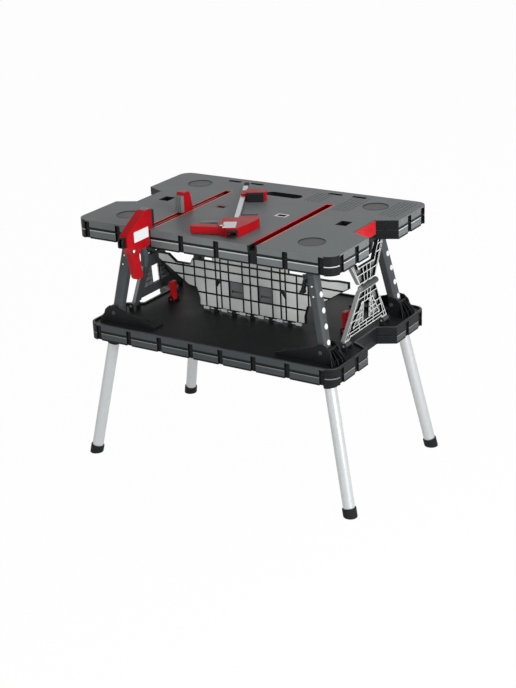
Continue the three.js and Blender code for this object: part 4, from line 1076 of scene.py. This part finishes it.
def clamp_pin(prefix):
    """Make the pale pin in its black ring on the side of a clamp that shows."""
    side = CLAMPS[prefix]
    bm = bmesh.new()
    for radius, reach, material in ((RING_RADIUS, RING_FACE, 1), (PIN_RADIUS, PIN_FACE, 0)):
        foot, face = Vector((side * PIN_FOOT, PIN_Y, PIN_Z)) * MM, Vector((side * reach, PIN_Y, PIN_Z)) * MM
        add_rod(bm, foot, face, radius * MM, material=material, width=0.4 * MM)
    bmesh.ops.transform(bm, verts=bm.verts, matrix=clamp_place(prefix))
    make_piece(bm, f"{prefix}_pin", prefix, ("label", "black"))


class BENCH_OT_clamps(Operator):
    """Dress the two bar clamps"""
    bl_idname = "bench.clamps"
    bl_label = "Clamps"

    def execute(self, context):
        sizes = context.scene.bench_sizes
        for prefix in CLAMPS:
            mounted = prefix == "mounted_clamp"
            # Painted light: the mounted clamp's jaw pad is grey for its lit face, the loose one's black
            # rubber
            pad = "pad" if mounted else "rubber"
            grip = "coal" if mounted else "nylon"
            place = clamp_place(prefix)
            local = place.inverted()
            end = place @ Vector((0, TIP_FROM * MM, 0))

            def cut_tip(bm):
                split(bm, end, place.to_3x3() @ Y_AXIS)

            def tip(centre, normal):
                return (local @ centre).y > TIP_FROM * MM

            def cap(centre, normal):
                return (local @ centre).z > CAP_FROM * MM
            # The mounted clamp's steel bar takes the deep red as painted reflection of the red rail and
            # painted shade in its channel
            metal = "deep_red" if mounted else "steel"
            dress(f"{prefix}_bar", f"{prefix}_bar", (metal, "rubber"), shape=cut_tip,
                  rules=((1, tip),))
            # The clamps' jaws and bodies take the red darkened as painted shade
            dress(f"{prefix}_jaw", f"{prefix}_bar", ("crimson",), 1.2 * MM)
            dress(f"{prefix}_jaw_pad", f"{prefix}_bar", (pad,))
            dress(f"{prefix}_body", prefix, ("crimson", "nylon"), 1.6 * MM, rules=((1, cap),))
            dress(f"{prefix}_body_pad", prefix, ("rubber",))
            dress(f"{prefix}_trigger", f"{prefix}_trigger", (grip,), 1.2 * MM)
            dress(f"{prefix}_release", f"{prefix}_release", ("black",), 1.0 * MM)
            clamp_label(prefix, sizes)
            clamp_pin(prefix)
        return {"FINISHED"}


# Stage


CAMERA_AT = (2182.72, -3322.58, 1930.58)
AZIMUTH, ELEVATION, ROLL = radians(33.31), radians(21.77), radians(-2.61)
LAMPS = (
    ("key_lamp", (3.2, -1.2, 1.4), 1.6, 125),
    ("top_lamp", (0.6, 0.8, 3.0), 2.4, 14),
    ("front_lamp", (-1.4, -3.0, 1.2), 2.2, 30),
)
LIT_POINT = Vector((0, 0, 0.5))
WHITE, OFF_WHITE = (1, 1, 1, 1), (0.9, 0.9, 0.9, 1)
FLOOR_HALF, FLOOR_DROP, FLOOR_GLOW = 30, 0.2 * MM, 0.975
ROOM_LIGHT, VIEW_END = 0.3, 100


def background_rays(tree):
    """Return a socket that is 1 for camera, mirror and see-through rays."""
    path = add_node(tree, "ShaderNodeLightPath")
    seen = path.outputs["Is Camera Ray"]
    for kind in ("Is Glossy Ray", "Is Transmission Ray"):
        seen = add_node(tree, "ShaderNodeMath", {0: seen, 1: path.outputs[kind]}, 0, operation="MAXIMUM")
    return seen


def lay_floor():
    """Lay a wide white floor that keeps a faint shadow."""
    bm = bmesh.new()
    bmesh.ops.create_grid(bm, x_segments=1, y_segments=1, size=FLOOR_HALF)
    bmesh.ops.translate(bm, verts=bm.verts, vec=(0, 0, -FLOOR_DROP))
    mesh = bpy.data.meshes.new("floor")
    bm.to_mesh(mesh)
    bm.free()
    # Matt painted floor: white to the eye, and it takes part of the object's shadow
    coat = bpy.data.materials.new("matt_white_paint")
    tree = clear_tree(coat)
    matt = add_node(tree, "ShaderNodeBsdfDiffuse", {"Color": OFF_WHITE}, 0)
    glow = add_node(tree, "ShaderNodeEmission", {"Color": WHITE, "Strength": 1.0}, 0)
    share = add_node(tree, "ShaderNodeMath", {0: background_rays(tree), 1: FLOOR_GLOW}, 0,
                     operation="MULTIPLY")
    mixed = add_node(tree, "ShaderNodeMixShader", {0: share, 1: matt, 2: glow}, 0)
    add_node(tree, "ShaderNodeOutputMaterial", {"Surface": mixed})
    mesh.materials.append(coat)
    floor = add_object("floor", mesh)


def light_world():
    """Light the room evenly and show it white."""
    world = bpy.data.worlds.new("studio")
    tree = clear_tree(world)
    even = add_node(tree, "ShaderNodeBackground", {"Color": WHITE, "Strength": ROOM_LIGHT}, 0)
    white = add_node(tree, "ShaderNodeBackground", {"Color": WHITE, "Strength": 1.0}, 0)
    mixed = add_node(tree, "ShaderNodeMixShader", {0: background_rays(tree), 1: even, 2: white}, 0)
    add_node(tree, "ShaderNodeOutputWorld", {"Surface": mixed})
    bpy.context.scene.world = world


def hang_lamps():
    """Hang the soft boxes."""
    for name, place, size, power in LAMPS:
        light = bpy.data.lights.new(name, "AREA")
        light.size = size
        light.energy = power
        lamp = add_object(name, light)
        lamp.location = place
        lamp.rotation_euler = (LIT_POINT - Vector(place)).to_track_quat("-Z", "Y").to_euler()


def place_camera(lens):
    """Place the camera at the photograph's angle."""
    back = Vector((sin(AZIMUTH) * cos(ELEVATION), -cos(AZIMUTH) * cos(ELEVATION), sin(ELEVATION)))
    right = (-back).cross(Z_AXIS).normalized()
    up = right.cross(-back)
    right, up = (cos(ROLL) * right + sin(ROLL) * up, cos(ROLL) * up - sin(ROLL) * right)
    camera = bpy.data.cameras.new("camera")
    camera.lens = lens
    camera.clip_end = VIEW_END
    holder = add_object("camera", camera)
    turn = Matrix((right, up, back)).transposed().to_4x4()
    holder.matrix_world = Matrix.Translation(spot(*CAMERA_AT)) @ turn
    bpy.context.scene.camera = holder


class BENCH_OT_stage(Operator):
    """Lay the floor, hang the lamps and place the camera"""
    bl_idname = "bench.stage"
    bl_label = "Stage"

    def execute(self, context):
        lay_floor()
        light_world()
        hang_lamps()
        place_camera(context.scene.bench_sizes.lens)
        context.scene.view_settings.view_transform = "Standard"
        return {"FINISHED"}


OPERATORS = (
    BENCH_OT_stage, BENCH_OT_worktop, BENCH_OT_ridges, BENCH_OT_red_fittings, BENCH_OT_tray,
    BENCH_OT_long_panel, BENCH_OT_end_panels, BENCH_OT_struts, BENCH_OT_legs, BENCH_OT_clamps,
)


class BENCH_PT_sidebar(Panel):
    """Lists the bench's pieces in the sidebar"""
    bl_idname = "BENCH_PT_sidebar"
    bl_label = "Folding workbench"
    bl_space_type = "VIEW_3D"
    bl_region_type = "UI"
    bl_category = "Workbench"

    def draw(self, context):
        for operator in OPERATORS:
            self.layout.operator(operator.bl_idname)
        for group in (context.scene.bench_sizes, context.scene.bench_colours):
            for name in group.bl_rna.properties.keys():
                if name not in ("rna_type", "name"):
                    self.layout.prop(group, name)


CLASSES = (BenchSizes, BenchColours, *OPERATORS, BENCH_PT_sidebar)


def register():
    """Register the classes and hang the settings on the scene."""
    for cls in CLASSES:
        bpy.utils.register_class(cls)
    bpy.types.Scene.bench_sizes = PointerProperty(type=BenchSizes)
    bpy.types.Scene.bench_colours = PointerProperty(type=BenchColours)


def unregister():
    """Take the settings and the classes away."""
    del bpy.types.Scene.bench_colours
    del bpy.types.Scene.bench_sizes
    for cls in reversed(CLASSES):
        bpy.utils.unregister_class(cls)


def main():
    """Build every piece."""
    register()
    FINISH.update(make_finishes(bpy.context.scene.bench_colours))
    for operator in OPERATORS:
        group, name = operator.bl_idname.split(".")
        getattr(getattr(bpy.ops, group), name)()


if __name__ == "__main__":
    main()
